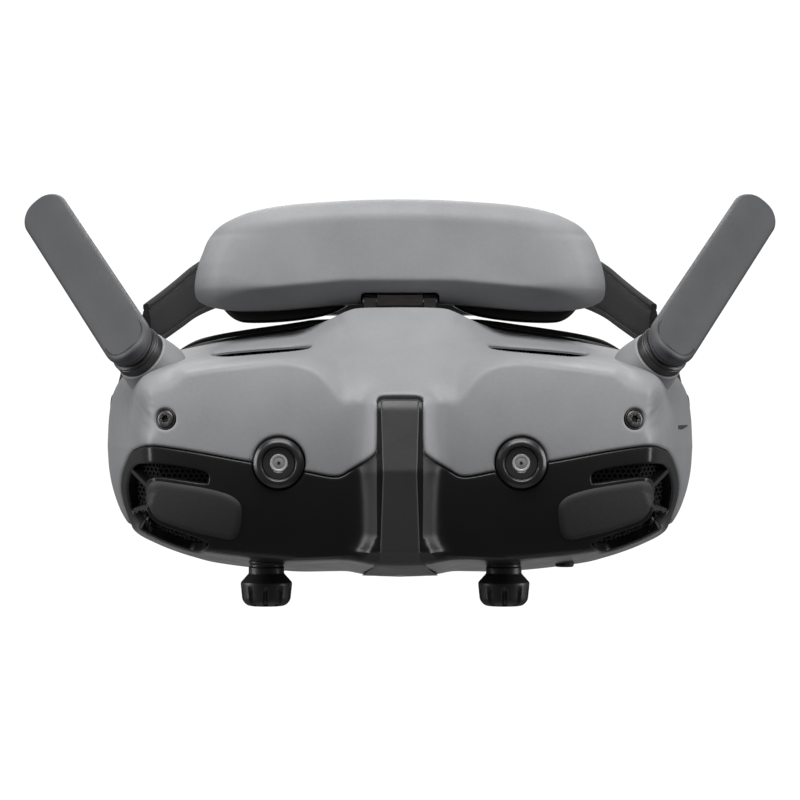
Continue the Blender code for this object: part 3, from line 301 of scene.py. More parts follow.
BASE_LOOP = [(0, 62.5), (-25, 61.8), (-40, 59.6), (-47, 55), (-49.5, 48), (-50.0, 41.0), (-47.5, 37.2), (-44.4, 35.0), (-40.8, 34.6),
             (-33, 34.8), (-26, 35.5), (-20, 36.6), (-16.6, 37.9), (-13.4, 39.9), (-12.7, 44.7), (0, 44.7)]
base_loop = dedupe(BASE_LOOP + [(-a, b) for a, b in BASE_LOOP[-2:0:-1]], 0.5)
CUSHION_LOOP = [(0, 66), (-20, 65.4), (-36, 63.5), (-46, 59), (-50, 53), (-49, 47.5), (-44, 45), (-20, 44.6), (0, 44.4)]
cushion_loop = dedupe(CUSHION_LOOP + [(-a, b) for a, b in CUSHION_LOOP[-2:0:-1]], 0.5)
ARM_PATH = [(77.9, -12.0, 3.0), (77.9, -9.0, 11.0), (77.4, -4.0, 20.0), (75.2, 2.0, 28.6), (72.9, 9.0, 34.6), (72.2, 22.0, 37.2)]
ARM_WIDTH = [11.0, 14.0, 14.0, 12.5, 12.0, 11.0]

# ---------------------------------------------------------------- outlines
def resample(pts, d, closed=True):
    """Outline or path with points every d millimetres."""
    p = np.array(pts, float)
    if closed:
        p = np.vstack([p, p[:1]])
    run = np.concatenate([[0], np.cumsum(np.linalg.norm(np.diff(p, axis=0), axis=1))])
    n = max(6, int(round(run[-1] / d)))
    t = np.linspace(0, run[-1], n + (0 if closed else 1), endpoint=not closed)
    return np.stack([np.interp(t, run, p[:, k]) for k in range(p.shape[1])], 1)


def chaikin(pts, times=2):
    p = np.array(pts, float)
    for _ in range(times):
        q = np.roll(p, -1, axis=0)
        p = np.stack([0.75 * p + 0.25 * q, 0.25 * p + 0.75 * q], 1).reshape(-1, 2)
    return p


def rounded_box(x0, z0, x1, z1, r, n=6):
    out = []
    for cx, cz, a0 in ((x1 - r, z1 - r, 0), (x0 + r, z1 - r, 90), (x0 + r, z0 + r, 180), (x1 - r, z0 + r, 270)):
        for i in range(n + 1):
            a = math.radians(a0 + 90 * i / n)
            out.append((cx + r * math.cos(a), cz + r * math.sin(a)))
    return np.array(out)


def inside(loop, x, z):
    a = np.asarray(loop)
    b = np.roll(a, -1, axis=0)
    r = np.zeros(np.shape(x), bool)
    for (x0, z0), (x1, z1) in zip(a, b):
        if z0 != z1:
            r ^= ((z0 > z) != (z1 > z)) & (x < x0 + (z - z0) * (x1 - x0) / (z1 - z0))
    return r


def loop_distance(loops, x, z, closed=True):
    best = np.full(np.shape(x), 1e9)
    for loop in loops:
        a = np.asarray(loop)
        b = np.roll(a, -1, axis=0)
        for p, q in zip(a, b) if closed else list(zip(a, b))[:-1]:
            ab = q - p
            l2 = float(ab @ ab)
            if l2 < 1e-12:
                continue
            t = np.clip(((x - p[0]) * ab[0] + (z - p[1]) * ab[1]) / l2, 0, 1)
            best = np.minimum(best, np.hypot(x - p[0] - t * ab[0], z - p[1] - t * ab[1]))
    return best


def triangles(loops, keep, base, rows=(), clear=0.4, plain=(), plain_rows=()):
    """Area where keep(x, z) holds, as points and triangles. Its outlines are the loops, and rows of
    points run beside them at the given distances; base fills the rest. plain loops get no rows."""
    verts, edges = [], []
    for lp in list(loops) + list(plain):
        i0, n = len(verts), len(lp)
        verts += [tuple(p) for p in lp]
        edges += [(i0 + i, i0 + (i + 1) % n) for i in range(n)]
    cand, need = [], []
    for lp in loops:
        for r in rows:
            for sign in (-1, 1):
                q = np.array(offset_loop(lp, sign * r))
                cand.append(q)
                need.append(np.full(len(q), 0.93 * r))
    need2 = [np.full(len(c), 0.25) for c in cand]
    for lp in plain:
        for r in plain_rows:
            for sign in (-1, 1):
                q = np.array(offset_loop(lp, sign * r))
                cand.append(q)
                need.append(np.full(len(q), (rows[-1] if len(rows) else 0) + clear * 0.5))
                need2.append(np.full(len(q), 0.93 * r))
    if len(base):
        cand.append(np.asarray(base, float))
        need.append(np.full(len(base), (rows[-1] if len(rows) else 0) + clear))
        need2.append(np.full(len(base), (plain_rows[-1] if len(plain_rows) else 0) + clear * 0.7))
    if cand:
        cand, need, need2 = np.vstack(cand), np.concatenate(need), np.concatenate(need2)
        ok = keep(cand[:, 0], cand[:, 1])
        cand, need, need2 = cand[ok], need[ok], need2[ok]
        d = loop_distance(list(loops), cand[:, 0], cand[:, 1])
        if len(plain):
            d2 = loop_distance(list(plain), cand[:, 0], cand[:, 1])
            ok = (d > need) & (d2 > need2)
        else:
            ok = d > need
        verts += [tuple(p) for p in cand[ok]]
    co, _, faces, _, _, _ = delaunay_2d_cdt([Vector(v) for v in verts], edges, [], 0, 1e-5, False)
    V = np.array([tuple(c) for c in co])
    T = np.array([f[:] for f in faces if len(f) == 3])
    c = V[T].mean(1)
    a, b, e = V[T[:, 0]], V[T[:, 1]], V[T[:, 2]]
    area = (b[:, 0] - a[:, 0]) * (e[:, 1] - a[:, 1]) - (e[:, 0] - a[:, 0]) * (b[:, 1] - a[:, 1])
    T = np.where(area[:, None] < 0, T[:, ::-1], T)
    T = T[keep(c[:, 0], c[:, 1]) & (np.abs(area) > 1e-9)]
    used = np.unique(T)
    new = np.full(len(V), -1)
    new[used] = np.arange(len(used))
    return V[used], new[T]


def rim_edges(T):
    e = np.vstack([T[:, [0, 1]], T[:, [1, 2]], T[:, [2, 0]]])
    have = set(map(tuple, e))
    return [(a, b) for a, b in map(tuple, e) if (b, a) not in have]


def make(name, verts, faces, smooth=40.0, merge=0.0):
    """Mesh object from millimetre points."""
    mesh = bpy.data.meshes.new(name)
    mesh.from_pydata((np.asarray(verts, float) * MM).tolist(), [], [tuple(int(i) for i in f) for f in faces])
    bm = bmesh.new()
    bm.from_mesh(mesh)
    if merge:
        bmesh.ops.remove_doubles(bm, verts=bm.verts[:], dist=merge * MM)
    bmesh.ops.dissolve_degenerate(bm, edges=bm.edges[:], dist=1e-7)
    bmesh.ops.delete(bm, geom=[v for v in bm.verts if not v.link_faces], context="VERTS")
    bmesh.ops.recalc_face_normals(bm, faces=bm.faces[:])
    bm.to_mesh(mesh)
    bm.free()
    mesh.shade_smooth()
    mesh.set_sharp_from_angle(angle=math.radians(smooth))
    obj = bpy.data.objects.new(name, mesh)
    bpy.context.scene.collection.objects.link(obj)
    return obj


def solid(name, V, T, front, back, rim=None, smooth=40.0, matrix=None):
    """Closed solid between the points front and back of every vertex; rim gives rows between them
    for the vertices of the outline."""
    n = len(V)
    pts = [front, back]
    faces = [tuple(t) for t in T] + [tuple(t[::-1] + n) for t in T]
    edges = rim_edges(T)
    ids = sorted({i for e in edges for i in e})
    rows = [{i: i for i in ids}]
    total = 2 * n
    if rim is not None:
        for row in rim(np.array(ids)):
            pts.append(np.asarray(row))
            rows.append({i: total + k for k, i in enumerate(ids)})
            total += len(ids)
    rows.append({i: i + n for i in ids})
    for a, b in edges:
        for r0, r1 in zip(rows, rows[1:]):
            faces.append((r0[b], r0[a], r1[a], r1[b]))
    P = np.vstack(pts)
    if matrix is not None:
        P = P @ matrix[:3, :3].T + matrix[:3, 3]
    return make(name, P, faces, smooth)


def sink(d, r):
    """How far a rounded edge of radius r lies below the surface at distance d from the edge."""
    t = np.clip((r - d) / r, 0, 1)
    return r * (1 - np.sqrt(np.clip(1 - t * t, 0, 1)))


def rows_for(r):
    return tuple(r * k for k in (0.04, 0.15, 0.34, 0.62, 1.0))


def slab(name, loops, lo, hi, r_front, r_back=None, step_mm=1.2, plane="XZ", shape=None, smooth=40.0, matrix=None,
         fill=True):
    """Flat outline with rounded edges, solid from lo to hi; shape(P) bends the finished points."""
    r_back = r_front if r_back is None else r_back
    loops = [np.asarray(l, float) for l in loops]
    outer, holes = loops[0], loops[1:]

    def keep(x, z):
        k = inside(outer, x, z)
        for h in holes:
            k &= ~inside(h, x, z)
        return k

    base = []
    if fill:
        (x0, z0), (x1, z1) = outer.min(0), outer.max(0)
        gx, gz = np.meshgrid(np.arange(x0, x1, step_mm), np.arange(z0, z1, step_mm))
        base = np.stack([gx.ravel(), gz.ravel()], 1)
    r = max(r_front, r_back)
    V, T = triangles(loops, keep, base, rows_for(r) if r else (), step_mm * 0.5)
    d = loop_distance(loops, V[:, 0], V[:, 1])
    front = np.stack([V[:, 0], lo + sink(d, r_front) if r_front else np.full(len(V), lo), V[:, 1]], 1)
    back = np.stack([V[:, 0], hi - sink(d, r_back) if r_back else np.full(len(V), hi), V[:, 1]], 1)
    if plane == "XY":
        front, back = front[:, [0, 2, 1]], back[:, [0, 2, 1]]
    if shape is not None:
        front, back = shape(front), shape(back)
    return solid(name, V, T, front, back, None, smooth, matrix)


def axes_for(direction):
    w = Vector(direction).normalized()
    u = Vector((0, 0, 1)).cross(w)
    if u.length < 1e-4:
        u = Vector((1, 0, 0))
    u.normalize()
    return np.array(u), np.array(w.cross(u)), np.array(w)


def fillet(profile, radius, n=4, closed=False):
    """Polyline with its corners rounded; radius is one number or one per point."""
    p = [np.array(q, float) for q in profile]
    m = len(p)
    rad = [radius] * m if not hasattr(radius, "__len__") else list(radius)
    out = []
    for i in range(m):
        if not closed and i in (0, m - 1) or rad[i] <= 0:
            out.append(p[i])
            continue
        a, b, c = p[i - 1], p[i], p[(i + 1) % m]
        la, lc = np.linalg.norm(a - b), np.linalg.norm(c - b)
        if la < 1e-6 or lc < 1e-6:
            out.append(b)
            continue
        u, v = (a - b) / la, (c - b) / lc
        k = min(rad[i], 0.45 * la, 0.45 * lc)
        s, e = b + u * k, b + v * k
        for t in np.linspace(0, 1, n + 1):
            out.append((1 - t) ** 2 * s + 2 * t * (1 - t) * b + t * t * e)
    return [tuple(q) for q in out]


def lathe(name, profile, origin, direction, steps=96, wave=None, smooth=35.0):
    """Profile of (radius, height) turned round an axis. wave(angle, r, h) changes the radius."""
    prof = [(max(r, 0.0), h) for r, h in profile]
    u, v, w = axes_for(direction)
    o = np.array(origin, float)
    verts, faces, rings = [], [], []
    ring_closed = prof[0][0] > 1e-6
    for r, h in prof:
        if r < 1e-6:
            rings.append([len(verts)])
            verts.append(o + w * h)
        else:
            row = []
            for i in range(steps):
                a = math.tau * i / steps
                rr = wave(a, r, h) if wave else r
                row.append(len(verts))
                verts.append(o + w * h + u * rr * math.cos(a) + v * rr * math.sin(a))
            rings.append(row)
    pairs = list(zip(rings, rings[1:])) + ([(rings[-1], rings[0])] if ring_closed else [])
    for A, B in pairs:
        for i in range(steps):
            k = (i + 1) % steps
            if len(A) == 1 and len(B) == 1:
                continue
            if len(A) == 1:
                faces.append((A[0], B[i], B[k]))
            elif len(B) == 1:
                faces.append((A[k], A[i], B[0]))
            else:
                faces.append((A[i], B[i], B[k], A[k]))
    return make(name, verts, faces, smooth)


def sweep(name, path, section, normal, smooth=50.0, caps=True):
    """Section (across, out) carried along a path. normal gives the outward direction at each point,
    section(i) the outline there."""
    t = np.gradient(path, axis=0)
    t /= np.linalg.norm(t, axis=1)[:, None]
    nrm = normal - t * np.sum(normal * t, axis=1)[:, None]
    nrm /= np.linalg.norm(nrm, axis=1)[:, None]
    across = np.cross(nrm, t)
    verts, faces = [], []
    m = None
    for i in range(len(path)):
        sec = section(i)
        m = len(sec)
        for a, b in sec:
            verts.append(path[i] + across[i] * a + nrm[i] * b)
    for i in range(len(path) - 1):
        for k in range(m):
            k2 = (k + 1) % m
            faces.append((i * m + k, i * m + k2, (i + 1) * m + k2, (i + 1) * m + k))
    if caps:
        faces.append(tuple(range(m))[::-1])
        faces.append(tuple((len(path) - 1) * m + k for k in range(m)))
    return make(name, verts, faces, smooth)


def band_section(width, thick, r, n=5):
    """Rounded rectangle, width across and thick out, as a closed list."""
    return [tuple(p) for p in rounded_box(-width / 2, -thick / 2, width / 2, thick / 2, min(r, thick / 2 - 0.02), n)]


def tube(name, path, r, n=8, closed=True, smooth=60.0):
    """Round cord along a path."""
    p = np.asarray(path, float)
    t = (np.roll(p, -1, 0) - np.roll(p, 1, 0)) if closed else np.gradient(p, axis=0)
    t /= np.linalg.norm(t, axis=1)[:, None]
    up = np.where(np.abs(t[:, 2:3]) < 0.9, np.array([[0, 0, 1.0]]), np.array([[0, 1.0, 0]]))
    up = up - t * np.sum(up * t, axis=1)[:, None]
    up /= np.linalg.norm(up, axis=1)[:, None]
    side = np.cross(t, up)
    verts, faces = [], []
    m = len(p)
    for i in range(m):
        for k in range(n):
            a = math.tau * k / n
            verts.append(p[i] + r * (up[i] * math.cos(a) + side[i] * math.sin(a)))
    for i in range(m if closed else m - 1):
        j = (i + 1) % m
        for k in range(n):
            k2 = (k + 1) % n
            faces.append((i * n + k, i * n + k2, j * n + k2, j * n + k))
    if not closed:
        faces.append(tuple(range(n))[::-1])
        faces.append(tuple((m - 1) * n + k for k in range(n)))
    return make(name, verts, faces, smooth)


def stitches(name, path, normal, pitch, length, r, lift=0.0):
    """Row of sewn stitches along a path: short rounded lozenges, half sunk in the cloth."""
    p = resample(path, pitch, closed=False)
    t = np.gradient(p, axis=0)
    t /= np.linalg.norm(t, axis=1)[:, None]
    run = np.linspace(0, 1, len(p))
    nn = np.stack([np.interp(run, np.linspace(0, 1, len(normal)), normal[:, k]) for k in range(3)], 1)
    nn /= np.linalg.norm(nn, axis=1)[:, None]
    verts, faces = [], []
    prof = [(-0.5, 0.0), (-0.42, 0.6), (-0.2, 1.0), (0.2, 1.0), (0.42, 0.6), (0.5, 0.0)]
    for i in range(1, len(p) - 1):
        side = np.cross(t[i], nn[i])
        first = len(verts)
        c = p[i] + nn[i] * lift
        verts.append(c + t[i] * prof[0][0] * length)
        for a, b in prof[1:-1]:
            for k in range(6):
                ang = math.tau * k / 6
                verts.append(c + t[i] * a * length + r * b * (nn[i] * math.cos(ang) + side * math.sin(ang)))
        verts.append(c + t[i] * prof[-1][0] * length)
        last = len(verts) - 1
        for k in range(6):
            k2 = (k + 1) % 6
            faces.append((first, first + 1 + k2, first + 1 + k))
            for j in range(3):
                a0, b0 = first + 1 + 6 * j, first + 7 + 6 * j
                faces.append((a0 + k, a0 + k2, b0 + k2, b0 + k))
            faces.append((last, last - 6 + k, last - 6 + k2))
    return make(name, verts, faces, 80.0)


def mirror(obj, name):
    """Mirror copy in x of a finished piece."""
    mesh = obj.data.copy()
    mesh.name = name
    mesh.transform(Matrix.Diagonal((-1, 1, 1, 1)))
    mesh.flip_normals()
    new = bpy.data.objects.new(name, mesh)
    bpy.context.scene.collection.objects.link(new)
    return new


def bevelled(node, mm, segments=2):
    """Softens a CAD node's edges where it stays in view."""
    mod = NODES[node].modifiers.new("edge", "BEVEL")
    mod.width = mm * MM
    mod.segments = segments
    mod.limit_method = "ANGLE"
    mod.angle_limit = math.radians(40)
    mod.use_clamp_overlap = True
    mod.harden_normals = False


def softened(obj, pressure, cap, voxel, pinned=None):
    """Padded form: the closed piece is remeshed, blown up by a cloth step and capped."""
    bpy.context.view_layer.objects.active = obj
    mod = obj.modifiers.new("remesh", "REMESH")
    mod.mode = "VOXEL"
    mod.voxel_size = voxel * MM
    dg = bpy.context.evaluated_depsgraph_get()
    mesh = bpy.data.meshes.new_from_object(obj.evaluated_get(dg))
    obj.modifiers.clear()
    obj.data = mesh
    start = np.array([v.co[:] for v in mesh.vertices])
    cloth = obj.modifiers.new("cloth", "CLOTH")
    s = cloth.settings
    s.quality = 6
    s.mass = 0.2
    s.tension_stiffness = s.compression_stiffness = 20
    s.shear_stiffness = 8
    s.bending_stiffness = 0.6
    s.use_pressure = True
    s.uniform_pressure_force = pressure
    s.effector_weights.gravity = 0
    cloth.point_cache.frame_start, cloth.point_cache.frame_end = 1, 20
    if pinned is not None:
        group = obj.vertex_groups.new(name="pin")
        held = [i for i, p in enumerate(start) if pinned(p / MM)]
        group.add(held, 1.0, "REPLACE")
        s.vertex_group_mass = "pin"
    scene = bpy.context.scene
    for f in range(1, 21):
        scene.frame_set(f)
    dg = bpy.context.evaluated_depsgraph_get()
    done = bpy.data.meshes.new_from_object(obj.evaluated_get(dg))
    obj.modifiers.clear()
    end = np.array([v.co[:] for v in done.vertices])
    scene.frame_set(1)
    move = end - start if len(end) == len(start) else np.zeros_like(start)
    far = np.linalg.norm(move, axis=1)
    k = np.where(far > cap * MM, cap * MM / np.maximum(far, 1e-12), 1.0)
    out = start + move * k[:, None]
    mesh.vertices.foreach_set("co", out.astype(np.float32).ravel())
    mesh.update()
    sm = obj.modifiers.new("smooth", "SMOOTH")
    sm.factor, sm.iterations = 0.5, 3
    sub = obj.modifiers.new("sub", "SUBSURF")
    sub.levels = sub.render_levels = 1
    dg = bpy.context.evaluated_depsgraph_get()
    final = bpy.data.meshes.new_from_object(obj.evaluated_get(dg))
    obj.modifiers.clear()
    obj.vertex_groups.clear()
    obj.data = final
    final.shade_smooth()
    return obj


# ---------------------------------------------------------------- finishes
def new_material(name):
    m = bpy.data.materials.new(name)
    m.use_nodes = True
    nt = m.node_tree
    b = nt.nodes["Principled BSDF"]
    tc = nt.nodes.new("ShaderNodeTexCoord")
    return m, nt, b, tc


def noise(nt, tc, scale, detail=3.0, rough=0.55):
    n = nt.nodes.new("ShaderNodeTexNoise")
    n.inputs["Scale"].default_value = scale
    n.inputs["Detail"].default_value = detail
    n.inputs["Roughness"].default_value = rough
    nt.links.new(tc.outputs["Object"], n.inputs["Vector"])
    return n.outputs["Fac"]


def ramp(nt, fac, stops):
    r = nt.nodes.new("ShaderNodeValToRGB")
    e = r.color_ramp.elements
    for i, (pos, col) in enumerate(stops):
        el = e[i] if i < 2 else e.new(pos)
        el.position = pos
        el.color = (*col, 1.0) if hasattr(col, "__len__") else (col, col, col, 1.0)
    nt.links.new(fac, r.inputs["Fac"])
    return r.outputs["Color"]


def mix_colour(nt, fac, a, b):
    m = nt.nodes.new("ShaderNodeMix")
    m.data_type = "RGBA"
    for sock, val in ((m.inputs["Factor"], fac), (m.inputs["A"], a), (m.inputs["B"], b)):
        if hasattr(val, "is_linked") or isinstance(val, bpy.types.NodeSocket):
            nt.links.new(val, sock)
        else:
            sock.default_value = val if isinstance(val, float) else (*val, 1.0)
    return m.outputs["Result"]


def bump(nt, height, strength, distance, normal=None):
    b = nt.nodes.new("ShaderNodeBump")
    b.inputs["Strength"].default_value = strength
    b.inputs["Distance"].default_value = distance
    nt.links.new(height, b.inputs["Height"])
    if normal is not None:
        nt.links.new(normal, b.inputs["Normal"])
    return b.outputs["Normal"]


def moulded(name, colour, rough, grain=2600.0, depth=0.25, spec=0.4, wear=1.0, sheen=0.0, metal=0.0, edge=1.35):
    """Moulded plastic or coated metal: fine spark grain, slight tone drift, edges rubbed paler."""
    m, nt, b, tc = new_material(name)
    drift = noise(nt, tc, 55.0, 2.0)
    lo = tuple(c * 0.93 for c in colour)
    hi = tuple(min(1.0, c * 1.07) for c in colour)
    col = ramp(nt, drift, [(0.3, lo), (0.7, hi)])
    fleck = noise(nt, tc, grain * 0.5, 2.0)
    col2 = mix_colour(nt, ramp(nt, fleck, [(0.35, 0.0), (0.75, 0.18)]), col, tuple(min(1.0, c * 1.3 + 0.002) for c in colour))
    geo = nt.nodes.new("ShaderNodeNewGeometry")
    worn = ramp(nt, geo.outputs["Pointiness"], [(0.515, 0.0), (0.60, 0.55 * wear)])
    col3 = mix_colour(nt, worn, col2, tuple(min(1.0, c * edge + 0.004) for c in colour))
    nt.links.new(col3, b.inputs["Base Color"])
    rv = ramp(nt, noise(nt, tc, 160.0, 3.0), [(0.3, rough * 0.92), (0.7, min(1.0, rough * 1.08))])
    nt.links.new(rv, b.inputs["Roughness"])
    g1 = noise(nt, tc, grain, 2.0, 0.5)
    n1 = bump(nt, g1, depth, 0.00006)
    n2 = bump(nt, noise(nt, tc, grain * 0.33, 2.0, 0.5), depth * 0.6, 0.00009, n1)
    nt.links.new(n2, b.inputs["Normal"])
    b.inputs["Specular IOR Level"].default_value = spec
    b.inputs["Metallic"].default_value = metal
    if sheen:
        b.inputs["Sheen Weight"].default_value = sheen
        b.inputs["Sheen Roughness"].default_value = 0.5
    return m


def cloth_finish(name, colour, scale=1500.0, rough=0.9, sheen=0.25, depth=0.5, spec=0.15):
    """Knitted or woven cloth: crossed threads by three-way waves, fibre noise, sheen."""
    m, nt, b, tc = new_material(name)
    waves = []
    for direction in ("X", "Y", "Z"):
        w = nt.nodes.new("ShaderNodeTexWave")
        w.wave_type = "BANDS"
        w.bands_direction = direction
        w.inputs["Scale"].default_value = scale
        w.inputs["Distortion"].default_value = 0.8
        w.inputs["Detail"].default_value = 1.0
        nt.links.new(tc.outputs["Object"], w.inputs["Vector"])
        waves.append(w.outputs["Fac"])
    add1 = nt.nodes.new("ShaderNodeMath")
    add1.operation = "MULTIPLY"
    nt.links.new(waves[0], add1.inputs[0])
    nt.links.new(waves[2], add1.inputs[1])
    add2 = nt.nodes.new("ShaderNodeMath")
    add2.operation = "ADD"
    nt.links.new(add1.outputs[0], add2.inputs[0])
    nt.links.new(waves[1], add2.inputs[1])
    fib = noise(nt, tc, scale * 1.3, 4.0, 0.6)
    thread = ramp(nt, add2.outputs[0], [(0.2, tuple(c * 0.6 for c in colour)), (1.2 if False else 1.0, tuple(c * 1.35 for c in colour))])
    col = mix_colour(nt, ramp(nt, fib, [(0.35, 0.0), (0.8, 0.5)]), thread, tuple(c * 1.8 for c in colour))
    nt.links.new(col, b.inputs["Base Color"])
    nt.links.new(ramp(nt, fib, [(0.3, rough * 0.9), (0.7, min(1.0, rough * 1.08))]), b.inputs["Roughness"])
    n1 = bump(nt, add2.outputs[0], depth, 0.00012)
    nt.links.new(bump(nt, fib, depth * 0.6, 0.00008, n1), b.inputs["Normal"])
    b.inputs["Sheen Weight"].default_value = sheen
    b.inputs["Sheen Roughness"].default_value = 0.45
    b.inputs["Specular IOR Level"].default_value = spec
    return m


def leather_finish(name, colour, rough=0.55, scale=900.0, depth=0.35, spec=0.35):
    """Coated microfibre: pebble cells with fine creases."""
    m, nt, b, tc = new_material(name)
    v = nt.nodes.new("ShaderNodeTexVoronoi")
    v.feature = "DISTANCE_TO_EDGE"
    v.inputs["Scale"].default_value = scale
    nt.links.new(tc.outputs["Object"], v.inputs["Vector"])
    edge = ramp(nt, v.outputs["Distance"], [(0.0, 0.0), (0.35, 1.0)])
    fib = noise(nt, tc, scale * 2.2, 3.0)
    col = mix_colour(nt, edge, tuple(c * 0.7 for c in colour), tuple(c * 1.12 for c in colour))
    col2 = mix_colour(nt, ramp(nt, noise(nt, tc, 70.0, 2.0), [(0.35, 0.0), (0.8, 0.35)]), col, tuple(c * 1.4 for c in colour))
    nt.links.new(col2, b.inputs["Base Color"])
    nt.links.new(ramp(nt, edge, [(0.0, min(1.0, rough * 1.25)), (1.0, rough)]), b.inputs["Roughness"])
    n1 = bump(nt, edge, depth, 0.00008)
    nt.links.new(bump(nt, fib, depth * 0.5, 0.00004, n1), b.inputs["Normal"])
    b.inputs["Specular IOR Level"].default_value = spec
    return m


def turned_metal(name, colour, rough=0.35, metal=1.0, scale=400.0):
    m, nt, b, tc = new_material(name)
    mp = nt.nodes.new("ShaderNodeMapping")
    mp.inputs["Scale"].default_value = (0.15, 1.0, 1.0)
    nt.links.new(tc.outputs["Object"], mp.inputs["Vector"])
    n = nt.nodes.new("ShaderNodeTexNoise")
    n.inputs["Scale"].default_value = scale * 5
    n.inputs["Detail"].default_value = 3.0
    nt.links.new(mp.outputs["Vector"], n.inputs["Vector"])
    nt.links.new(ramp(nt, n.outputs["Fac"], [(0.3, tuple(c * 0.85 for c in colour)), (0.7, tuple(min(1, c * 1.12) for c in colour))]),
                 b.inputs["Base Color"])
    nt.links.new(ramp(nt, n.outputs["Fac"], [(0.3, rough * 0.8), (0.7, rough * 1.25)]), b.inputs["Roughness"])
    nt.links.new(bump(nt, n.outputs["Fac"], 0.12, 0.00003), b.inputs["Normal"])
    b.inputs["Metallic"].default_value = metal
    return m


def glass_finish(name, colour, rough=0.04, coat=1.0, tint=(0.05, 0.03, 0.09), transmission=0.0, ior=1.5):
    """Coated optic: dark body or clear glass with a faint tinted coating bloom painted in as a reflection, and dust."""
    m, nt, b, tc = new_material(name)
    dust = noise(nt, tc, 900.0, 5.0, 0.7)
    # painted reflection: the base colour turns to the tint where the surface is seen edge-on
    painted_reflection = nt.nodes.new("ShaderNodeLayerWeight")
    painted_reflection.inputs["Blend"].default_value = 0.35
    nt.links.new(mix_colour(nt, painted_reflection.outputs["Facing"], colour, tint), b.inputs["Base Color"])
    nt.links.new(ramp(nt, dust, [(0.45, rough), (0.8, rough + 0.06)]), b.inputs["Roughness"])
    b.inputs["Coat Weight"].default_value = coat
    b.inputs["Coat Roughness"].default_value = 0.02
    b.inputs["IOR"].default_value = ior
    b.inputs["Transmission Weight"].default_value = transmission
    return m


M = {
    "shell_gray": moulded("shell_gray", (0.205, 0.207, 0.213), 0.52, 2400, 0.22, 0.35, 0.5),
    "pad_gray": moulded("pad_gray", (0.225, 0.227, 0.232), 0.58, 2400, 0.25, 0.3, 0.4),
    "shell_black": moulded("shell_black", (0.0066, 0.0066, 0.0070), 0.34, 2600, 0.22, 0.26, 0.4, edge=1.8),
    "pillar": moulded("pillar", (0.030, 0.030, 0.031), 0.45, 2600, 0.3, 0.35, 0.8, edge=1.8),
    "bumper_black": moulded("bumper_black", (0.020, 0.020, 0.021), 0.72, 1700, 0.6, 0.35, 0.6, edge=1.6),
    "antenna_gray": moulded("antenna_gray", (0.050, 0.051, 0.054), 0.55, 1900, 0.55, 0.35, 0.8, edge=1.5),
    "collar_black": moulded("collar_black", (0.018, 0.018, 0.019), 0.4, 2600, 0.2, 0.45, 0.8, edge=1.8),
    "knob_black": moulded("knob_black", (0.016, 0.016, 0.017), 0.42, 2600, 0.22, 0.45, 1.0, edge=2.0),
    "camera_ring": moulded("camera_ring", (0.012, 0.012, 0.013), 0.33, 3000, 0.15, 0.5, 0.8, edge=2.0),
    "mesh_black": moulded("mesh_black", (0.012, 0.012, 0.013), 0.5, 2600, 0.2, 0.4, 1.0, edge=1.8),
    "mesh_dark": moulded("mesh_dark", (0.006, 0.006, 0.0065), 0.7, 2600, 0.2, 0.12, 0.3, edge=1.3),
    "inside_black": moulded("inside_black", (0.008, 0.008, 0.009), 0.8, 1500, 0.4, 0.2, 0.3),
    "face_foam": leather_finish("face_foam", (0.018, 0.018, 0.019), 0.62, 1300, 0.4, 0.3),
    "pad_cloth": cloth_finish("pad_cloth", (0.016, 0.016, 0.017), 1300, 0.95, 0.3, 0.6),
    "strap_fabric": cloth_finish("strap_fabric", (0.011, 0.011, 0.0115), 1900, 0.8, 0.06, 0.5, 0.15),
    "thread": cloth_finish("thread", (0.040, 0.040, 0.042), 4200, 0.75, 0.3, 0.5, 0.3),
    "gunmetal": turned_metal("gunmetal", (0.15, 0.143, 0.136), 0.40),
    "steel": turned_metal("steel", (0.45, 0.45, 0.46), 0.25),
    "screw_steel": turned_metal("screw_steel", (0.09, 0.088, 0.086), 0.42),
    "aluminium": turned_metal("aluminium", (0.62, 0.62, 0.63), 0.38),
    "board_green": moulded("board_green", (0.010, 0.060, 0.030), 0.42, 1200, 0.3, 0.5, 0.4),
    "dark_glass": glass_finish("dark_glass", (0.006, 0.006, 0.008), 0.05),
    "lens_core": glass_finish("lens_core", (0.36, 0.36, 0.365), 0.25, 0.8, (0.42, 0.42, 0.43)),
    "lens_plate": glass_finish("lens_plate", (0.018, 0.018, 0.019), 0.12, 0.6, (0.03, 0.03, 0.032)),
    "lens_mid": glass_finish("lens_mid", (0.22, 0.22, 0.225), 0.15, 1.0, (0.30, 0.30, 0.31)),
    "pupil": glass_finish("pupil", (0.012, 0.012, 0.015), 0.04, 1.0, (0.05, 0.05, 0.07)),
    "optic_glass": glass_finish("optic_glass", (0.92, 0.94, 0.98), 0.02, 0.6, (0.70, 0.66, 0.92), 0.92, 1.45),
    "cell_wrap": moulded("cell_wrap", (0.03, 0.05, 0.12), 0.45, 900, 0.2, 0.5, 0.4),
    "led_off": glass_finish("led_off", (0.25, 0.27, 0.27), 0.2, 0.5, (0.4, 0.4, 0.4)),
}


def put(obj, body, mat, slot, *nodes):
    """Finish a piece: material, the body it rides on and the CAD nodes it stands for. The slot argument is not used."""
    obj.data.materials.clear()
    obj.data.materials.append(M[mat])
    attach(obj, body)
    if nodes:
        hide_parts(*nodes)
    return obj


def repaint(node, mat):
    obj = NODES[node]
    for s in obj.material_slots:
        s.material = M[mat]
    if not obj.material_slots:
        raise RuntimeError("no slot on " + node)


# ---------------------------------------------------------------- housing shells
design_front_y = front_y


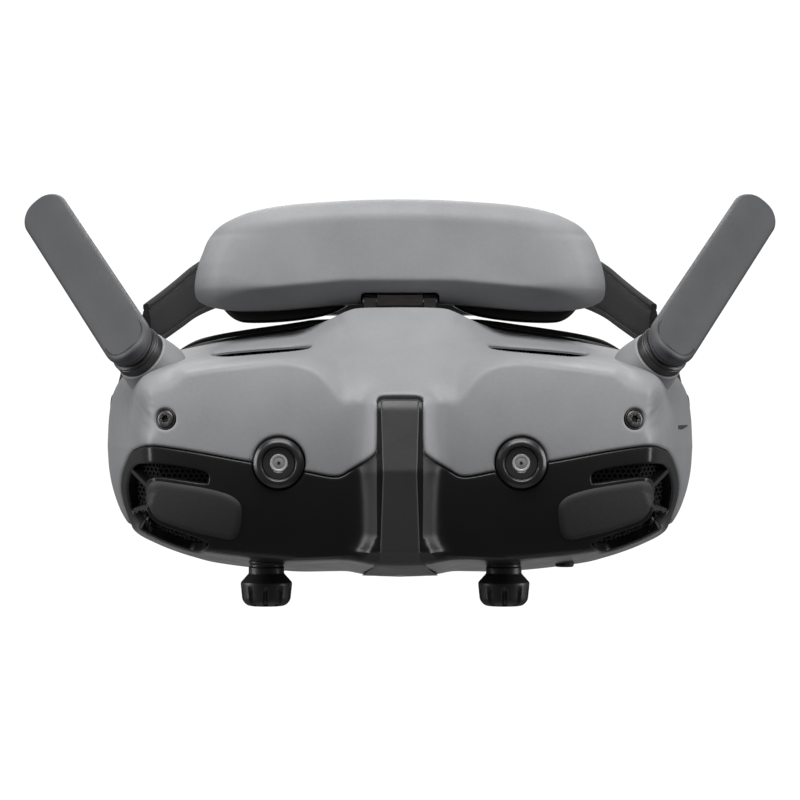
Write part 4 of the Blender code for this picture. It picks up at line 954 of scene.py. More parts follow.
def front_y(x, z):
    """The housing's face, with its shoulder corners smoothed so no crease shows on the fine surface."""
    x, z = np.asarray(x, float), np.asarray(z, float)
    y = np.array(design_front_y(x, z), float)
    m = (np.abs(x) > 53) & (z > 2)
    if m.any():
        xs, zs = x[m], z[m]
        d, ex, ez = housing.edge_distance(xs, zs)
        reach = np.minimum(3.4, d * 0.9) * step(53, 59, np.abs(xs)) * step(2, 7, zs)
        total, count = y[m] * 2.0, 2.0
        for r in (0.5, 1.0):
            for k in range(8):
                a = math.tau * (k + 0.5 * (r < 1)) / 8
                total = total + design_front_y(xs + reach * r * math.cos(a), zs + reach * r * math.sin(a))
                count += 1.0
        y[m] = total / count
    return y


def grid_points(field, ns, nu):
    t = np.linspace(-1, 1, ns)
    s = 0.55 * t + 0.45 * np.sin(t * math.pi / 2)
    v = np.linspace(-1, 1, nu)
    u = 0.5 + 0.5 * (0.6 * v + 0.4 * np.sin(v * math.pi / 2))
    S, U = np.meshgrid(s, u)
    x, z = field.place_xz(S.ravel(), U.ravel())
    return np.stack([x, z], 1)


DENSE = grid_points(housing, 190, 100)
RING = resample(housing.ring, 1.0)
LOWER_SOFT = chaikin([(x, z + 0.95 if z > 12 else z) for x, z in LOWER], 2)
SEAM_OUT = resample(offset_loop(LOWER_SOFT, 0.12), 0.8)
SEAM_IN = resample(offset_loop(LOWER_SOFT, -0.12), 0.8)
# the intake opening runs round three sides of the bumper panel
INTAKE = [(-48.5, -7.7), (-48.3, -6.9), (-48.2, -5.4), (-49.1, -4.4), (-56.5, -3.1), (-64.0, -2.4), (-69.6, -3.1), (-72.4, -8.7),
          (-72.5, -13.1), (-71.9, -16.5), (-69.2, -19.1), (-65.4, -22.0), (-58.9, -25.0), (-53.7, -26.5), (-51.3, -25.8),
          (-48.6, -23.6), (-48.7, -22.7), (-51.9, -21.3), (-59.4, -19.0), (-62.1, -17.9), (-64.0, -16.1), (-65.1, -13.6),
          (-65.7, -11.2), (-65.4, -7.6), (-63.0, -5.7), (-56.4, -6.5)]
RECESS_L = resample(chaikin(INTAKE, 2), 0.6)
RECESS_R = RECESS_L[::-1] * [-1, 1]
BUMPER_L = resample(chaikin(BUMPER, 2), 0.6)
BUMPER_R = BUMPER_L[::-1] * [-1, 1]
VENT_L = resample(offset_loop(chaikin(VENT_TOP, 2), 0.25), 0.5)
VENT_R = VENT_L[::-1] * [-1, 1]
CAM_HOLES = [np.array(circle(sx * CAMERA_X, CAMERA_Z, CAMERA_R + 0.25, 64)) for sx in (-1, 1)]
SCREW_HOLES = [np.array(circle(sx * SCREW_X, SCREW_Z, 2.65, 32)) for sx in (-1, 1)]
WALL = 1.3


def safe_normal(x, z):
    """Outward direction of the housing's face; flat at its very edge."""
    n = front_normal(x, z)
    d, ex, ez = housing.edge_distance(x, z)
    flat = np.stack([ex, np.zeros_like(ex), ez], -1)
    k = np.clip((0.30 - d) / 0.2, 0, 1)[:, None]
    n = n * (1 - k) + flat * k
    return n / np.linalg.norm(n, axis=1)[:, None], d, ex, ez


def skin(name, loops, keep, r, clear=0.35, base=DENSE, wall=WALL):
    """Part of the housing's shell. loops are the cuts through it, with edges rounded by r."""
    V, T = triangles(loops, keep, base, rows_for(r), clear, plain=[RING], plain_rows=(0.12, 0.32, 0.6, 1.0, 1.5))
    x, z = V[:, 0], V[:, 1]
    n, d_ring, ex, ez = safe_normal(x, z)
    d = loop_distance(loops, x, z)
    y = front_y(x, z)
    P = np.stack([x, y, z], 1)
    front = P - n * sink(d, r)[:, None]
    back = P - n * wall
    # the inner wall never comes out through the face where the edge turns sharply
    back[:, 1] = np.maximum(back[:, 1], front_y(back[:, 0], back[:, 2]) + 0.55)
    on_ring = d_ring < 0.03

    def rim(ids):
        q = on_ring[ids]
        f, b = front[ids], back[ids]
        r1, r2, r3 = f.copy(), f * 0.67 + b * 0.33, f * 0.33 + b * 0.67
        r1 = np.where(q[:, None], np.stack([f[:, 0], np.full(len(ids), -20.5), f[:, 2]], 1), f * 0.9 + b * 0.1)
        inn = np.stack([f[:, 0] - wall * ex[ids], np.full(len(ids), -20.0), f[:, 2] - wall * ez[ids]], 1)
        mid = np.stack([f[:, 0] - 0.5 * ex[ids], np.full(len(ids), -20.0), f[:, 2] - 0.5 * ez[ids]], 1)
        r2 = np.where(q[:, None], mid, r2)
        r3 = np.where(q[:, None], inn, r3)
        return [r1, r2, r3]

    return solid(name, V, T, front, back, rim, 42.0)


def upper_keep(x, z):
    k = inside(RING, x, z) & ~inside(SEAM_OUT, x, z)
    for h in CAM_HOLES + SCREW_HOLES + [VENT_L, VENT_R]:
        k &= ~inside(h, x, z)
    return k


def lower_keep(x, z):
    k = inside(RING, x, z) & inside(SEAM_IN, x, z)
    for h in CAM_HOLES + [RECESS_L, RECESS_R]:
        k &= ~inside(h, x, z)
    return k


upper = skin("upper_shell_skin", [SEAM_OUT] + CAM_HOLES + SCREW_HOLES + [VENT_L, VENT_R], upper_keep, 0.75)
put(upper, "housing", "shell_gray", "shell_gray", "upper_shell")
lower = skin("lower_front_skin", [SEAM_IN] + CAM_HOLES + [RECESS_L, RECESS_R], lower_keep, 0.55)
put(lower, "housing", "shell_black", "shell_black", "lower_front_shell")


def make_gasket():
    """Dark strip that closes the seam between the two front shells from behind."""
    outer = resample(offset_loop(LOWER_SOFT, 1.0), 0.9)
    inner = resample(offset_loop(LOWER_SOFT, -1.0), 0.9)
    edge = resample(offset_loop(RING, -2.4), 1.0)

    def keep(x, z):
        k = inside(outer, x, z) & ~inside(inner, x, z) & inside(edge, x, z) & (np.abs(x) > 4.5)
        for h in CAM_HOLES:
            k &= ~inside(h, x, z)
        return k

    stops = [np.array([(-4.5, -60.0), (4.5, -60.0), (4.5, 60.0), (-4.5, 60.0)])]
    V, T = triangles([outer, inner, edge] + CAM_HOLES + stops, keep, DENSE[::7], (), 0.35)
    n, d, ex, ez = safe_normal(V[:, 0], V[:, 1])
    P = np.stack([V[:, 0], front_y(V[:, 0], V[:, 1]), V[:, 1]], 1)
    return solid("seam_gasket", V, T, P - n * (WALL + 0.03), P - n * (WALL + 0.55), None, 42.0)


put(make_gasket(), "housing", "inside_black", "shell_black")


# the nose pillar: a flat-faced bar with chamfered sides and a slanted top facet
def pillar_half(z):
    outer = np.interp(z, [-34.2, -33.0, -29.5, -26.0, -5.0, 13.0, 15.3], [10.4, 9.6, 6.9, 6.2, 5.15, 5.95, 5.75])
    flat = np.interp(z, [-34.2, -33.0, -29.5, -26.0, -5.0, 13.0, 15.3], [8.0, 7.6, 5.4, 4.7, 3.95, 4.45, 4.3])
    return outer, flat


def make_pillar():
    zs = np.concatenate([np.linspace(15.2, 14.85, 3), np.linspace(14.55, 13.65, 4), np.linspace(13.35, -32.0, 92),
                         np.linspace(-32.5, -33.9, 6)])
    outer, flat = pillar_half(zs)
    face = front_y(np.zeros_like(zs), zs) - 0.30
    # the top facet slants back by 2.4 over its height, with a crisp edge
    top = np.clip((zs - 13.35) / 1.85, 0, 1)
    face = face + top * 1.5
    end = np.clip((-32.9 - zs) / 1.0, 0, 1)
    face = face + end * 0.8
    rows, faces = [], []
    for z, o, f, y in zip(zs, outer, flat, face):
        e = 0.16
        c = 1.25
        half = [(0.0, 0.0), (f - e * 2, 0.0), (f - e, 0.01), (f, 0.05), (f + e, 0.16), (o - e, c - 0.12), (o - 0.03, c + 0.02),
                (o, c + 0.2), (o, c + 2.4), (o - 0.6, c + 2.6), (0.0, c + 2.6)]
        sec = half + [(-a, b) for a, b in half[-2:0:-1]]
        rows.append([(a, y + b, z) for a, b in sec])
    m = len(rows[0])
    verts = [p for r in rows for p in r]
    for i in range(len(rows) - 1):
        for k in range(m):
            k2 = (k + 1) % m
            faces.append((i * m + k, (i + 1) * m + k, (i + 1) * m + k2, i * m + k2))
    faces.append(tuple(range(m)))
    faces.append(tuple((len(rows) - 1) * m + k for k in range(m))[::-1])
    return make("nose_pillar", verts, faces, 28.0)


put(make_pillar(), "housing", "pillar", "shell_black")


# ---------------------------------------------------------------- meshes behind the openings
def hex_sheet(name, loop, pitch, hole, depth, thick, grow):
    """Perforated sheet that follows the housing at a depth, kept inside an outline."""
    area = np.array(offset_loop(loop, grow))
    (x0, z0), (x1, z1) = area.min(0), area.max(0)
    dx, dz = pitch, pitch * math.sqrt(3) / 2
    cells = []
    j = 0
    zc = z0
    while zc < z1 + dz:
        xc = x0 + (dx / 2 if j % 2 else 0)
        while xc < x1 + dx:
            cells.append((xc, zc))
            xc += dx
        zc += dz
        j += 1
    cells = np.array(cells)
    cells = cells[inside(area, cells[:, 0], cells[:, 1])]
    R = pitch / math.sqrt(3)
    table, verts2, quads = {}, [], []

    def vid(x, z):
        key = (round(x * 200), round(z * 200))
        for a in (-1, 0, 1):
            for b in (-1, 0, 1):
                if (key[0] + a, key[1] + b) in table:
                    return table[(key[0] + a, key[1] + b)]
        table[key] = len(verts2)
        verts2.append((x, z))
        return table[key]

    for cx, cz in cells:
        out = [vid(cx + R * math.sin(math.tau * i / 6), cz + R * math.cos(math.tau * i / 6)) for i in range(6)]
        inn = []
        for i in range(6):
            inn.append(len(verts2))
            verts2.append((cx + hole * math.sin(math.tau * i / 6), cz + hole * math.cos(math.tau * i / 6)))
        for i in range(6):
            k = (i + 1) % 6
            quads.append((out[i], inn[i], inn[k], out[k]))
    V = np.array(verts2)
    T = []
    for q in quads:
        a, b, c = V[q[0]], V[q[1]], V[q[2]]
        area2 = (b[0] - a[0]) * (c[1] - a[1]) - (c[0] - a[0]) * (b[1] - a[1])
        q = q if area2 > 0 else q[::-1]
        T += [(q[0], q[1], q[2]), (q[0], q[2], q[3])]
    T = np.array(T)
    n, d, ex, ez = safe_normal(V[:, 0], V[:, 1])
    P = np.stack([V[:, 0], front_y(V[:, 0], V[:, 1]), V[:, 1]], 1)
    return solid(name, V, T, P - n * depth, P - n * (depth + thick), None, 30.0)


def follow(name, loops, depth, thick, r, base, grow_rows=True, smooth=42.0):
    """Solid patch that follows the housing, between two depths, with a rounded outer edge."""
    outer, holes = loops[0], loops[1:]

    def keep(x, z):
        k = inside(outer, x, z)
        for h in holes:
            k &= ~inside(h, x, z)
        return k

    V, T = triangles(loops, keep, base, rows_for(r) if r else (), 0.35)
    n, d, ex, ez = safe_normal(V[:, 0], V[:, 1])
    P = np.stack([V[:, 0], front_y(V[:, 0], V[:, 1]), V[:, 1]], 1)
    e = loop_distance(loops, V[:, 0], V[:, 1])
    s = sink(e, r) if r else 0 * e
    return solid(name, V, T, P - n * (depth + s)[:, None], P - n * (depth + thick), None, smooth)


for side, sx, rec, bum, ven in (("left", -1, RECESS_L, BUMPER_L, VENT_L), ("right", 1, RECESS_R, BUMPER_R, VENT_R)):
    fine = grid_points(housing, 300, 160)
    fine = fine[(fine[:, 0] * sx > 36) & (fine[:, 1] < 0)]
    put(hex_sheet(f"intake_mesh_{side}", rec, 1.45, 0.60, 2.75, 0.45, 0.9), "housing", "mesh_dark", "shell_black",
        f"intake_grille_{side}")
    wide = chaikin(RECESS if sx < 0 else mirrored(RECESS), 2)
    back = np.array(offset_loop(resample(wide, 1.2), 0.8))
    put(follow(f"intake_backing_{side}", [back], 3.55, 0.5, 0.0, fine[::3]), "housing", "inside_black", "shell_black")
    # wall round the opening that reaches down to the mesh
    inner = np.array(offset_loop(rec, 0.02))
    outer = np.array(offset_loop(rec, 0.55))
    put(follow(f"intake_wall_{side}", [outer, inner], WALL - 0.02, 2.72 - WALL, 0.0, []), "housing", "shell_black", "shell_black")
    put(follow(f"bumper_panel_{side}", [bum], -0.62, 2.2, 1.5, fine), "housing", "bumper_black", "bumper_black",
        f"bumper_plate_{side}")
    put(hex_sheet(f"top_mesh_{side}", ven, 0.95, 0.36, 2.4, 0.4, 0.75), "housing", "mesh_black", "shell_black",
        f"top_grille_{side}")
    backing = np.array(offset_loop(ven, 0.7))
    put(follow(f"top_backing_{side}", [backing], 2.95, 0.35, 0.0, []), "housing", "inside_black", "shell_black")


# ribs of the intake frame that tie it to the bumper panel
def rib(name, a, b, width, depth0, depth1):
    a, b = np.array(a, float), np.array(b, float)
    t = (b - a) / np.linalg.norm(b - a)
    s = np.array([-t[1], t[0]]) * width / 2
    n = 12
    loop = [tuple(a + (b - a) * i / n - s) for i in range(n + 1)] + [tuple(b + (a - b) * i / n + s) for i in range(n + 1)]
    return follow(name, [np.array(loop)], depth0, depth1 - depth0, 0.18, [])


for side, sx in (("left", -1), ("right", 1)):
    for k, (a, b) in enumerate((((-70.9, -4.6), (-65.2, -8.6)), ((-71.2, -16.0), (-64.9, -13.8)))):
        put(rib(f"intake_rib_{side}_{k}", (-sx * a[0], a[1]), (-sx * b[0], b[1]), 1.1, 0.35, 2.7), "housing", "shell_black",
            "shell_black")

# ---------------------------------------------------------------- cameras and screws
for side, sx in (("left", -1), ("right", 1)):
    cy = float(front_y(np.array([CAMERA_X]), np.array([CAMERA_Z]))[0])
    o, f = (sx * CAMERA_X, cy, CAMERA_Z), (0, -1, 0)
    ring = fillet([(6.42, -5.6), (6.42, -0.1), (6.25, 0.35), (5.35, 1.12), (4.62, 1.26), (4.15, 0.75), (4.15, -5.6)],
                  [0.1, 0.2, 0.25, 0.5, 0.3, 0.2, 0.1], 6, closed=True)
    put(lathe(f"camera_bezel_{side}", ring, o, f, 128), "housing", "camera_ring", "knob_black", f"camera_ring_{side}")
    plate_p = fillet([(4.08, -1.4), (4.08, 0.12), (3.9, 0.2), (2.42, 0.12), (2.3, 0.0), (2.3, -1.4)],
                     [0.05, 0.1, 0.2, 0.1, 0.05, 0.05], 4, closed=True)
    put(lathe(f"camera_baffle_{side}", plate_p, o, f, 112), "housing", "lens_plate", "knob_black")
    disc = fillet([(2.24, -0.9), (2.24, -0.02), (2.1, 0.06), (1.62, 0.02), (1.5, -0.12), (1.5, -0.9)], 0.06, 3, closed=True)
    put(lathe(f"camera_iris_{side}", disc, o, f, 96), "housing", "lens_core", "dark_glass", f"camera_window_{side}")
    dome = [(0, 0.10)] + [(r, 0.10 - 0.10 * r * r) for r in np.linspace(0.15, 1.44, 9)] + [(1.44, -0.9), (0, -0.9)]
    put(lathe(f"camera_lens_{side}", dome, o, f, 72), "housing", "lens_mid", "dark_glass")
    pupil = [(0, 0.16), (0.25, 0.155), (0.42, 0.13), (0.46, 0.05), (0.46, -0.3), (0, -0.3)]
    put(lathe(f"camera_pupil_{side}", pupil, o, f, 40), "housing", "pupil", "dark_glass")

    sy = float(front_y(np.array([SCREW_X]), np.array([SCREW_Z]))[0])
    n = front_normal(np.array([sx * SCREW_X]), np.array([SCREW_Z]))[0]
    so = (sx * SCREW_X, sy, SCREW_Z)

    def star(a, r, h):
        if h < -0.02 or r > 1.25:
            return r
        return r * (1 + 0.16 * math.cos(6 * a)) if r > 0.05 else r

    head = [(0, -0.75), (0.5, -0.75), (0.80, -0.74), (0.86, -0.6), (0.90, 0.02), (0.98, 0.08), (1.2, 0.11), (1.7, 0.10), (2.0, 0.04),
            (2.14, -0.06), (2.2, -0.25), (2.2, -1.3), (1.25, -1.4), (1.25, -5.5), (0, -5.5)]

    def lobed(a, r, h):
        return r * (1 + 0.17 * math.cos(6 * a)) if 0.4 < r < 1.1 and h > -0.8 else r

    put(lathe(f"front_screw_head_{side}", head, so, n, 96, lobed), "housing", "screw_steel", "gunmetal", f"front_screw_{side}")
    cup = fillet([(2.25, -0.35), (2.5, -0.12), (2.62, -0.2), (2.62, -1.6), (2.25, -1.6)], 0.06, 3, closed=True)
    put(lathe(f"screw_cup_{side}", cup, so, n, 64), "housing", "collar_black", "shell_black")

# ---------------------------------------------------------------- antennas
a_ax, a_bl = Vector(ANT_AXIS).normalized(), Vector(ANT_BLADE).normalized()
a_bl = (a_bl - a_ax * a_bl.dot(a_ax)).normalized()
a_side = a_bl.cross(a_ax).normalized()
foot = np.array(ANT_BASE)
AX, BL, SD = np.array(a_ax), np.array(a_bl), np.array(a_side)
HW = ANT_WIDTH / 2


def blade_outline(inset=0.0, heel=9.0):
    r = 5.5
    pts = [(HW, 2.0), (HW, ANT_LENGTH - r)]
    pts += [(HW - r + r * math.cos(a), ANT_LENGTH - r + r * math.sin(a)) for a in np.linspace(0, math.pi / 2, 16)[1:]]
    pts += [(-HW + r - r * math.sin(a), ANT_LENGTH - r + r * math.cos(a)) for a in np.linspace(0, math.pi / 2, 16)]
    pts += [(-HW, 2.0)]
    pts += [(-HW * math.cos(a), 2.0 - heel * math.sin(a)) for a in np.linspace(0, math.pi, 40)[1:-1]]
    p = resample(np.array(pts), 0.8)
    return np.array(offset_loop(p, -inset)) if inset else p


def antenna_frame(height):
    m = np.identity(4)
    c = foot + AX * height
    # slab space: x = across the blade, y = from the front face to the back, z = along the blade
    m[:3, 0], m[:3, 1], m[:3, 2], m[:3, 3] = SD, -AX, BL, c
    return m


# the heel of the cover is set off by a thin dark seam cord, with the swivel's neck and collar below it
def crown(P):
    """The blade's face is bowed across its width."""
    Q = P.copy()
    Q[:, 1] = P[:, 1] + 1.5 * (P[:, 0] / HW) ** 2 * (P[:, 1] < -7.5)
    return Q


blade = slab("antenna_blade_right", [blade_outline()], -9.9, -6.5, 1.1, 0.5, 1.4, matrix=antenna_frame(0.0), smooth=45, shape=crown)
shell = slab("antenna_rear_right", [blade_outline(0.3)], -6.4, -5.5, 0.15, 0.5, 2.0, matrix=antenna_frame(0.0), smooth=45)
collar = lathe("antenna_swivel_right", fillet([(0, 5.3), (6.2, 5.3), (6.2, 5.0), (6.85, 4.85), (6.9, 4.45), (6.62, 4.3), (6.62, 4.1),
                                               (6.88, 3.95), (6.9, 1.95), (6.7, 1.85), (0, 1.85)],
                                              [0, 0.05, 0.05, 0.2, 0.2, 0.08, 0.08, 0.15, 0.15, 0.05, 0], 4), foot, AX, 120)
base = lathe("antenna_root_right", fillet([(0, 1.7), (6.95, 1.7), (7.25, 1.45), (7.4, 0.4), (8.1, -3.2), (8.4, -6.6), (7.2, -9.4), (0, -9.4)],
                                          [0, 0.15, 0.25, 0.8, 3.0, 2.0, 0.2, 0], 5), foot, AX, 120)
arc_frame = antenna_frame(0.0)
arc = [arc_frame[:3, :3] @ np.array([-(HW - 1.2) * math.cos(a), -9.84 + 1.5 * ((HW - 1.2) * math.cos(a) / HW) ** 2,
                                     2.0 - 7.3 * math.sin(a)]) + arc_frame[:3, 3]
       for a in np.linspace(-0.1, math.pi + 0.1, 48)]
heel_seam = tube("antenna_heel_seam_right", np.array(arc), 0.22, 8, closed=False)
for obj, stem, body, mat, slot in ((blade, "antenna_blade", "antenna", "antenna_gray", "antenna_gray"),
                                   (shell, None, "antenna", "antenna_gray", "antenna_gray"),
                                   (collar, "antenna_collar", "antenna", "collar_black", "knob_black"),
                                   (heel_seam, None, "antenna", "collar_black", "knob_black"),
                                   (base, "antenna_base", "housing", "shell_gray", "shell_gray")):
    left = mirror(obj, obj.name.replace("_right", "_left"))
    for o, side in ((obj, "right"), (left, "left")):
        put(o, f"antenna_{side}" if body == "antenna" else body, mat, slot, *([f"{stem}_{side}"] if stem else []))

# ---------------------------------------------------------------- forehead pad
pad_field = Field([(x * 1.014, z) for x, z in PAD_TOP], [(x * 1.014, z) for x, z in PAD_LOW], PAD_CORNER * 1.014)
PAD_RING = resample(pad_field.ring, 0.9)
NOTCH = resample(rounded_box(-10.5, 30.0, 10.5, PAD_HINGE[2] + 2.1, 1.0, 8), 0.7)
SIDE_Z = [37.7, 38.5, 39.7, 41.1, 43.4, 46.6, 50.4, 53.6, 56.6, 59.0]
SIDE_X = [43.3, 49.6, 53.5, 55.3, 55.9, 55.6, 54.8, 53.5, 52.3, 50.5]


def pad_keep(x, z):
    return inside(PAD_RING, x, z) & ~inside(NOTCH, x, z)


def pad_face(x, z):
    """Front of the pad: an upright face with a creased upper band, tapered ends and an undercut lower edge."""
    d, nx, nz = pad_field.edge_distance(x, z)
    gap_low = z - pad_field.z_low(x)
    gap_top = pad_field.z_top(x) - z
    ax = np.abs(x)
    gap_side = np.interp(np.clip(z, 41.0, 58.0), SIDE_Z, SIDE_X) - ax
    far = step(32, 52, ax)
    # the undercut is crisp below the middle and melts into the rounded ends
    cut = smax(np.zeros_like(x), (6.1 - gap_low) * (1.75 - 0.65 * far), 0.9 + 4.2 * far)
    band = smax(np.zeros_like(x), (4.9 - gap_top) * 0.85, 1.0 + 1.5 * far)
    taper = smax(np.zeros_like(x), (13.0 - gap_side) * 0.40, 2.6)
    edge = 1.8 * (1 - np.sqrt(np.clip(1 - np.clip((1.9 - d) / 1.9, 0, 1) ** 2.2, 0, 1)))
    ends = smax(np.zeros_like(x), (4.4 - gap_side) * 1.1, 3.0)
    return pad_y(x, z, -43.5) + smax(smax(cut, band, 1.6), taper, 3.0) - 0.4 + edge + ends


def make_pad():
    base = grid_points(pad_field, 150, 60)
    V, T = triangles([NOTCH], pad_keep, base, rows_for(0.9), 0.45, plain=[PAD_RING], plain_rows=(0.1, 0.28, 0.55, 0.95, 1.5, 2.1))
    x, z = V[:, 0], V[:, 1]
    dn = loop_distance([NOTCH], x, z)
    d, nx, nz = pad_field.edge_distance(x, z)
    back_y = pad_y(x, z, -22.6)
    y = np.minimum(pad_face(x, z) + sink(dn, 0.9), back_y - 1.2)
    front = np.stack([x, y, z], 1)
    back = np.stack([x, back_y - sink(np.minimum(d, dn), 0.9) * 0.6, z], 1)
    return solid("pad_cover_skin", V, T, front, back, None, 42.0)


put(make_pad(), "forehead_pad", "pad_gray", "shell_gray", "pad_cover")
BASE_RING = resample(chaikin(base_loop, 2), 0.9)


def pad_bend(P):
    Q = P.copy()
    Q[:, 1] = P[:, 1] + pad_y(P[:, 0], P[:, 2], 0.0)
    return Q


put(slab("pad_backplate", [BASE_RING], -22.0, -16.5, 1.2, 0.8, 1.6, shape=pad_bend), "forehead_pad", "shell_black", "shell_black",
    "pad_base")
CUSH_RING = resample(chaikin(cushion_loop, 2), 1.0)
cush = slab("pad_cushion_cloth", [np.array(offset_loop(CUSH_RING, -1.4))], -15.0, 3.6, 2.6, 3.6, 2.0, shape=pad_bend)
softened(cush, 4.0, 2.0, 2.4, pinned=lambda p: p[1] < -11.0 + 9.0 * (abs(p[0]) / 55.0) ** 2.2)
put(cush, "forehead_pad", "pad_cloth", "face_foam", "pad_cushion")

bracket = slab("hinge_bracket", [resample(rounded_box(-12.6, PAD_HINGE[2] - 0.3, 12.6, PAD_HINGE[2] + 4.6, 0.5, 4), 0.8)], -30.9, -28.6, 0.3, 0.3, 1.5)
put(bracket, "forehead_pad", "inside_black", "shell_black")

# ---------------------------------------------------------------- knobs
GROOVES = 10


def knob_wave(a, r, h):
    if h > -35.0 or h < -40.1 or r < 4.0:
        return r
    ph = (a * GROOVES / math.tau) % 1.0 - 0.5
    g = max(0.0, 1.0 - (ph / 0.20) ** 2)
    m = min(1.0, (-35.0 - h) / 1.3)
    return r - 0.75 * g * m


for side, sx in (("left", -1), ("right", 1)):
    kx = sx * LENS_X + KNOB_DX
    prof = fillet([(0, -17.2), (1.8, -17.2), (1.8, -27.6), (4.65, -27.6), (4.65, -29.0), (4.4, -29.4), (4.4, -29.9), (4.65, -30.3),
                   (4.65, -31.8), (6.7, -34.1), (6.74, -34.6), (6.3, -38.9), (4.9, -40.3), (0, -40.3)],
                  [0, 0.1, 0.1, 0.3, 0.1, 0.1, 0.1, 0.1, 0.3, 0.4, 0.3, 0.9, 0.9, 0], 5)
    dense = [prof[0]]
    for p, q in zip(prof, prof[1:]):
        steps_n = max(1, int(math.hypot(q[0] - p[0], q[1] - p[1]) / 0.35)) if p[1] < -33.5 else 1
        for i in range(1, steps_n + 1):
            dense.append((p[0] + (q[0] - p[0]) * i / steps_n, p[1] + (q[1] - p[1]) * i / steps_n))
    put(lathe(f"focus_dial_{side}", dense, (kx, KNOB_Y, 0), (0, 0, 1), 200, knob_wave), f"knob_{side}", "knob_black", "knob_black",
        f"focus_knob_{side}")

# ---------------------------------------------------------------- back of the housing
def rear_loop(shrink, rise):
    """Outline of the rear frame: it stands above the housing's top edge and sinks behind the shoulders."""
    pts = []
    for x, z in housing.ring[::4]:
        ax = abs(x)
        lift = rise * float(step(14, 27, ax) * (1 - step(56, 70, ax))) if z > 8 else 0.0
        pts.append((x * shrink, z * (1.0 if z > 0 else 0.97) + lift - (0.8 * float(step(60, 72, ax)) if z > 8 else 0.0)))
    return pts


REAR_OUT = resample(chaikin(dedupe(rear_loop(0.955, 3.0), 3.0), 2), 1.0)
REAR_IN = resample(offset_loop(resample(REAR_OUT, 3.0), -4.0), 1.0)
REAR_LOW = resample(chaikin(dedupe(rear_loop(0.955, 1.3), 3.0), 2), 1.0)
put(slab("rear_frame_ring", [REAR_LOW, REAR_IN[::-1]], Y_BACK + 0.2, -11.2, 0.8, 0.3, 1.6), "housing", "shell_black", "shell_black",
    "rear_frame")
put(slab("rear_frame_lip", [REAR_OUT, REAR_IN[::-1]], -11.15, -9.5, 0.5, 0.6, 1.6), "housing", "shell_black", "shell_black")

FO = resample(chaikin(dedupe(offset_loop(rear_loop(0.95, 2.0), -0.6), 3.0), 2), 1.2)
FI = resample(offset_loop(resample(FO, 4.0), -8.9), 1.2)


def foam_bend(P):
    Q = P.copy()
    x, z = P[:, 0], P[:, 2]
    t = np.clip((P[:, 1] + 8.9) / 8.9, 0, 1)
    Q[:, 2] = z + nose_lift(x, z, 12.0) * t ** 0.7 * 0.98
    Q[:, 1] = -8.9 + (P[:, 1] + 8.9) * (8.9 + face_y(x)) / 8.9
    return Q


foam = slab("face_cushion_cloth", [np.array(offset_loop(FO, -1.2)), np.array(offset_loop(FI, 1.2))[::-1]], -9.3, -1.2, 1.2, 2.6, 2.0,
            shape=foam_bend)
softened(foam, 4.0, 1.9, 2.5, pinned=lambda p: p[1] < -7.6)
put(foam, "housing", "face_foam", "face_foam", "face_foam")
seam_path = []
for x, z in resample(offset_loop(FO, -0.15), 1.5):
    seam_path.append(foam_bend(np.array([[x, -4.6, z]]))[0])
put(tube("face_cushion_piping", np.array(seam_path), 0.55, 10), "housing", "face_foam", "face_foam")
put(stitches("face_cushion_stitches", np.array(seam_path + seam_path[:1]) * [0.985, 1, 0.985] + [0, 1.9, 0],
             np.array([[p[0], 0, p[2] * 1.6] for p in seam_path + seam_path[:1]]), 2.4, 1.5, 0.18, 0.55), "housing", "thread", "face_foam")

# inner eye panel with lens openings, its light seal collars and the eyepiece glass
eye_holes = [resample(stadium(sx * (LENS_X + (IPD_OUT + IPD_IN) / 2), 0, (IPD_OUT - IPD_IN) / 2 + 0.2, 16.8, 24)[::-1], 0.8)
             for sx in (-1, 1)]
PANEL = resample(chaikin(dedupe(offset_loop([tuple(p) for p in housing.ring[::4]], -3.6), 3.0), 2), 1.2)
put(slab("eye_panel", [PANEL] + eye_holes, -26.9, -25.3, 0.0, 0.5, 1.6), "housing", "inside_black", "shell_black", "lens_panel")

for side, sx in (("left", -1), ("right", 1)):
    lx = sx * LENS_X
    prof = fillet([(13.65, -14.6), (14.2, -14.4), (15.9, -14.4), (16.35, -14.9), (16.35, -17.4), (16.0, -17.7), (16.0, -18.3),
                   (16.35, -18.6), (16.35, -39.9), (14.45, -39.9), (14.45, -24.6), (13.65, -23.4), (13.65, -20.6), (13.9, -20.3),
                   (13.9, -19.7), (13.65, -19.4), (13.65, -17.2), (13.9, -16.9), (13.9, -16.3), (13.65, -16.0)],
                  0.16, 3, closed=True)
    put(lathe(f"eyepiece_tube_{side}", prof, (lx, 0, 0), (0, 1, 0), 144), f"barrel_{side}", "shell_black", "shell_black",
        f"lens_barrel_{side}")
    rear = [(r, -26.2 - 0.0166 * r * r) for r in np.linspace(0, 13.55, 22)]
    frontp = [(r, -34.4 + 0.0105 * r * r) for r in np.linspace(13.55, 0, 22)]
    put(lathe(f"eyepiece_glass_{side}", rear + [(13.78, -29.6), (13.78, -32.1)] + frontp, (lx, 0, 0), (0, 1, 0), 128, smooth=50),
        f"barrel_{side}", "optic_glass", "optic_glass", f"eyepiece_lens_{side}")

# ---------------------------------------------------------------- headband
S_PATH = spline([(71.2, 5.5, 34.2)] + STRAP_PATH[1:], 16)
S_W = np.interp(np.linspace(0, len(STRAP_WIDTH) - 1, len(S_PATH)), range(len(STRAP_WIDTH)), STRAP_WIDTH)


def strap_frames(path):
    t = np.gradient(path, axis=0)
    t /= np.linalg.norm(t, axis=1)[:, None]
    up = np.array([0, 0, 1.0]) - t * t[:, 2:3]
    up /= np.linalg.norm(up, axis=1)[:, None]
    out = np.cross(t, up)
    out *= np.sign(out[:, 0:1] + 1e-9)
    return t, up, out


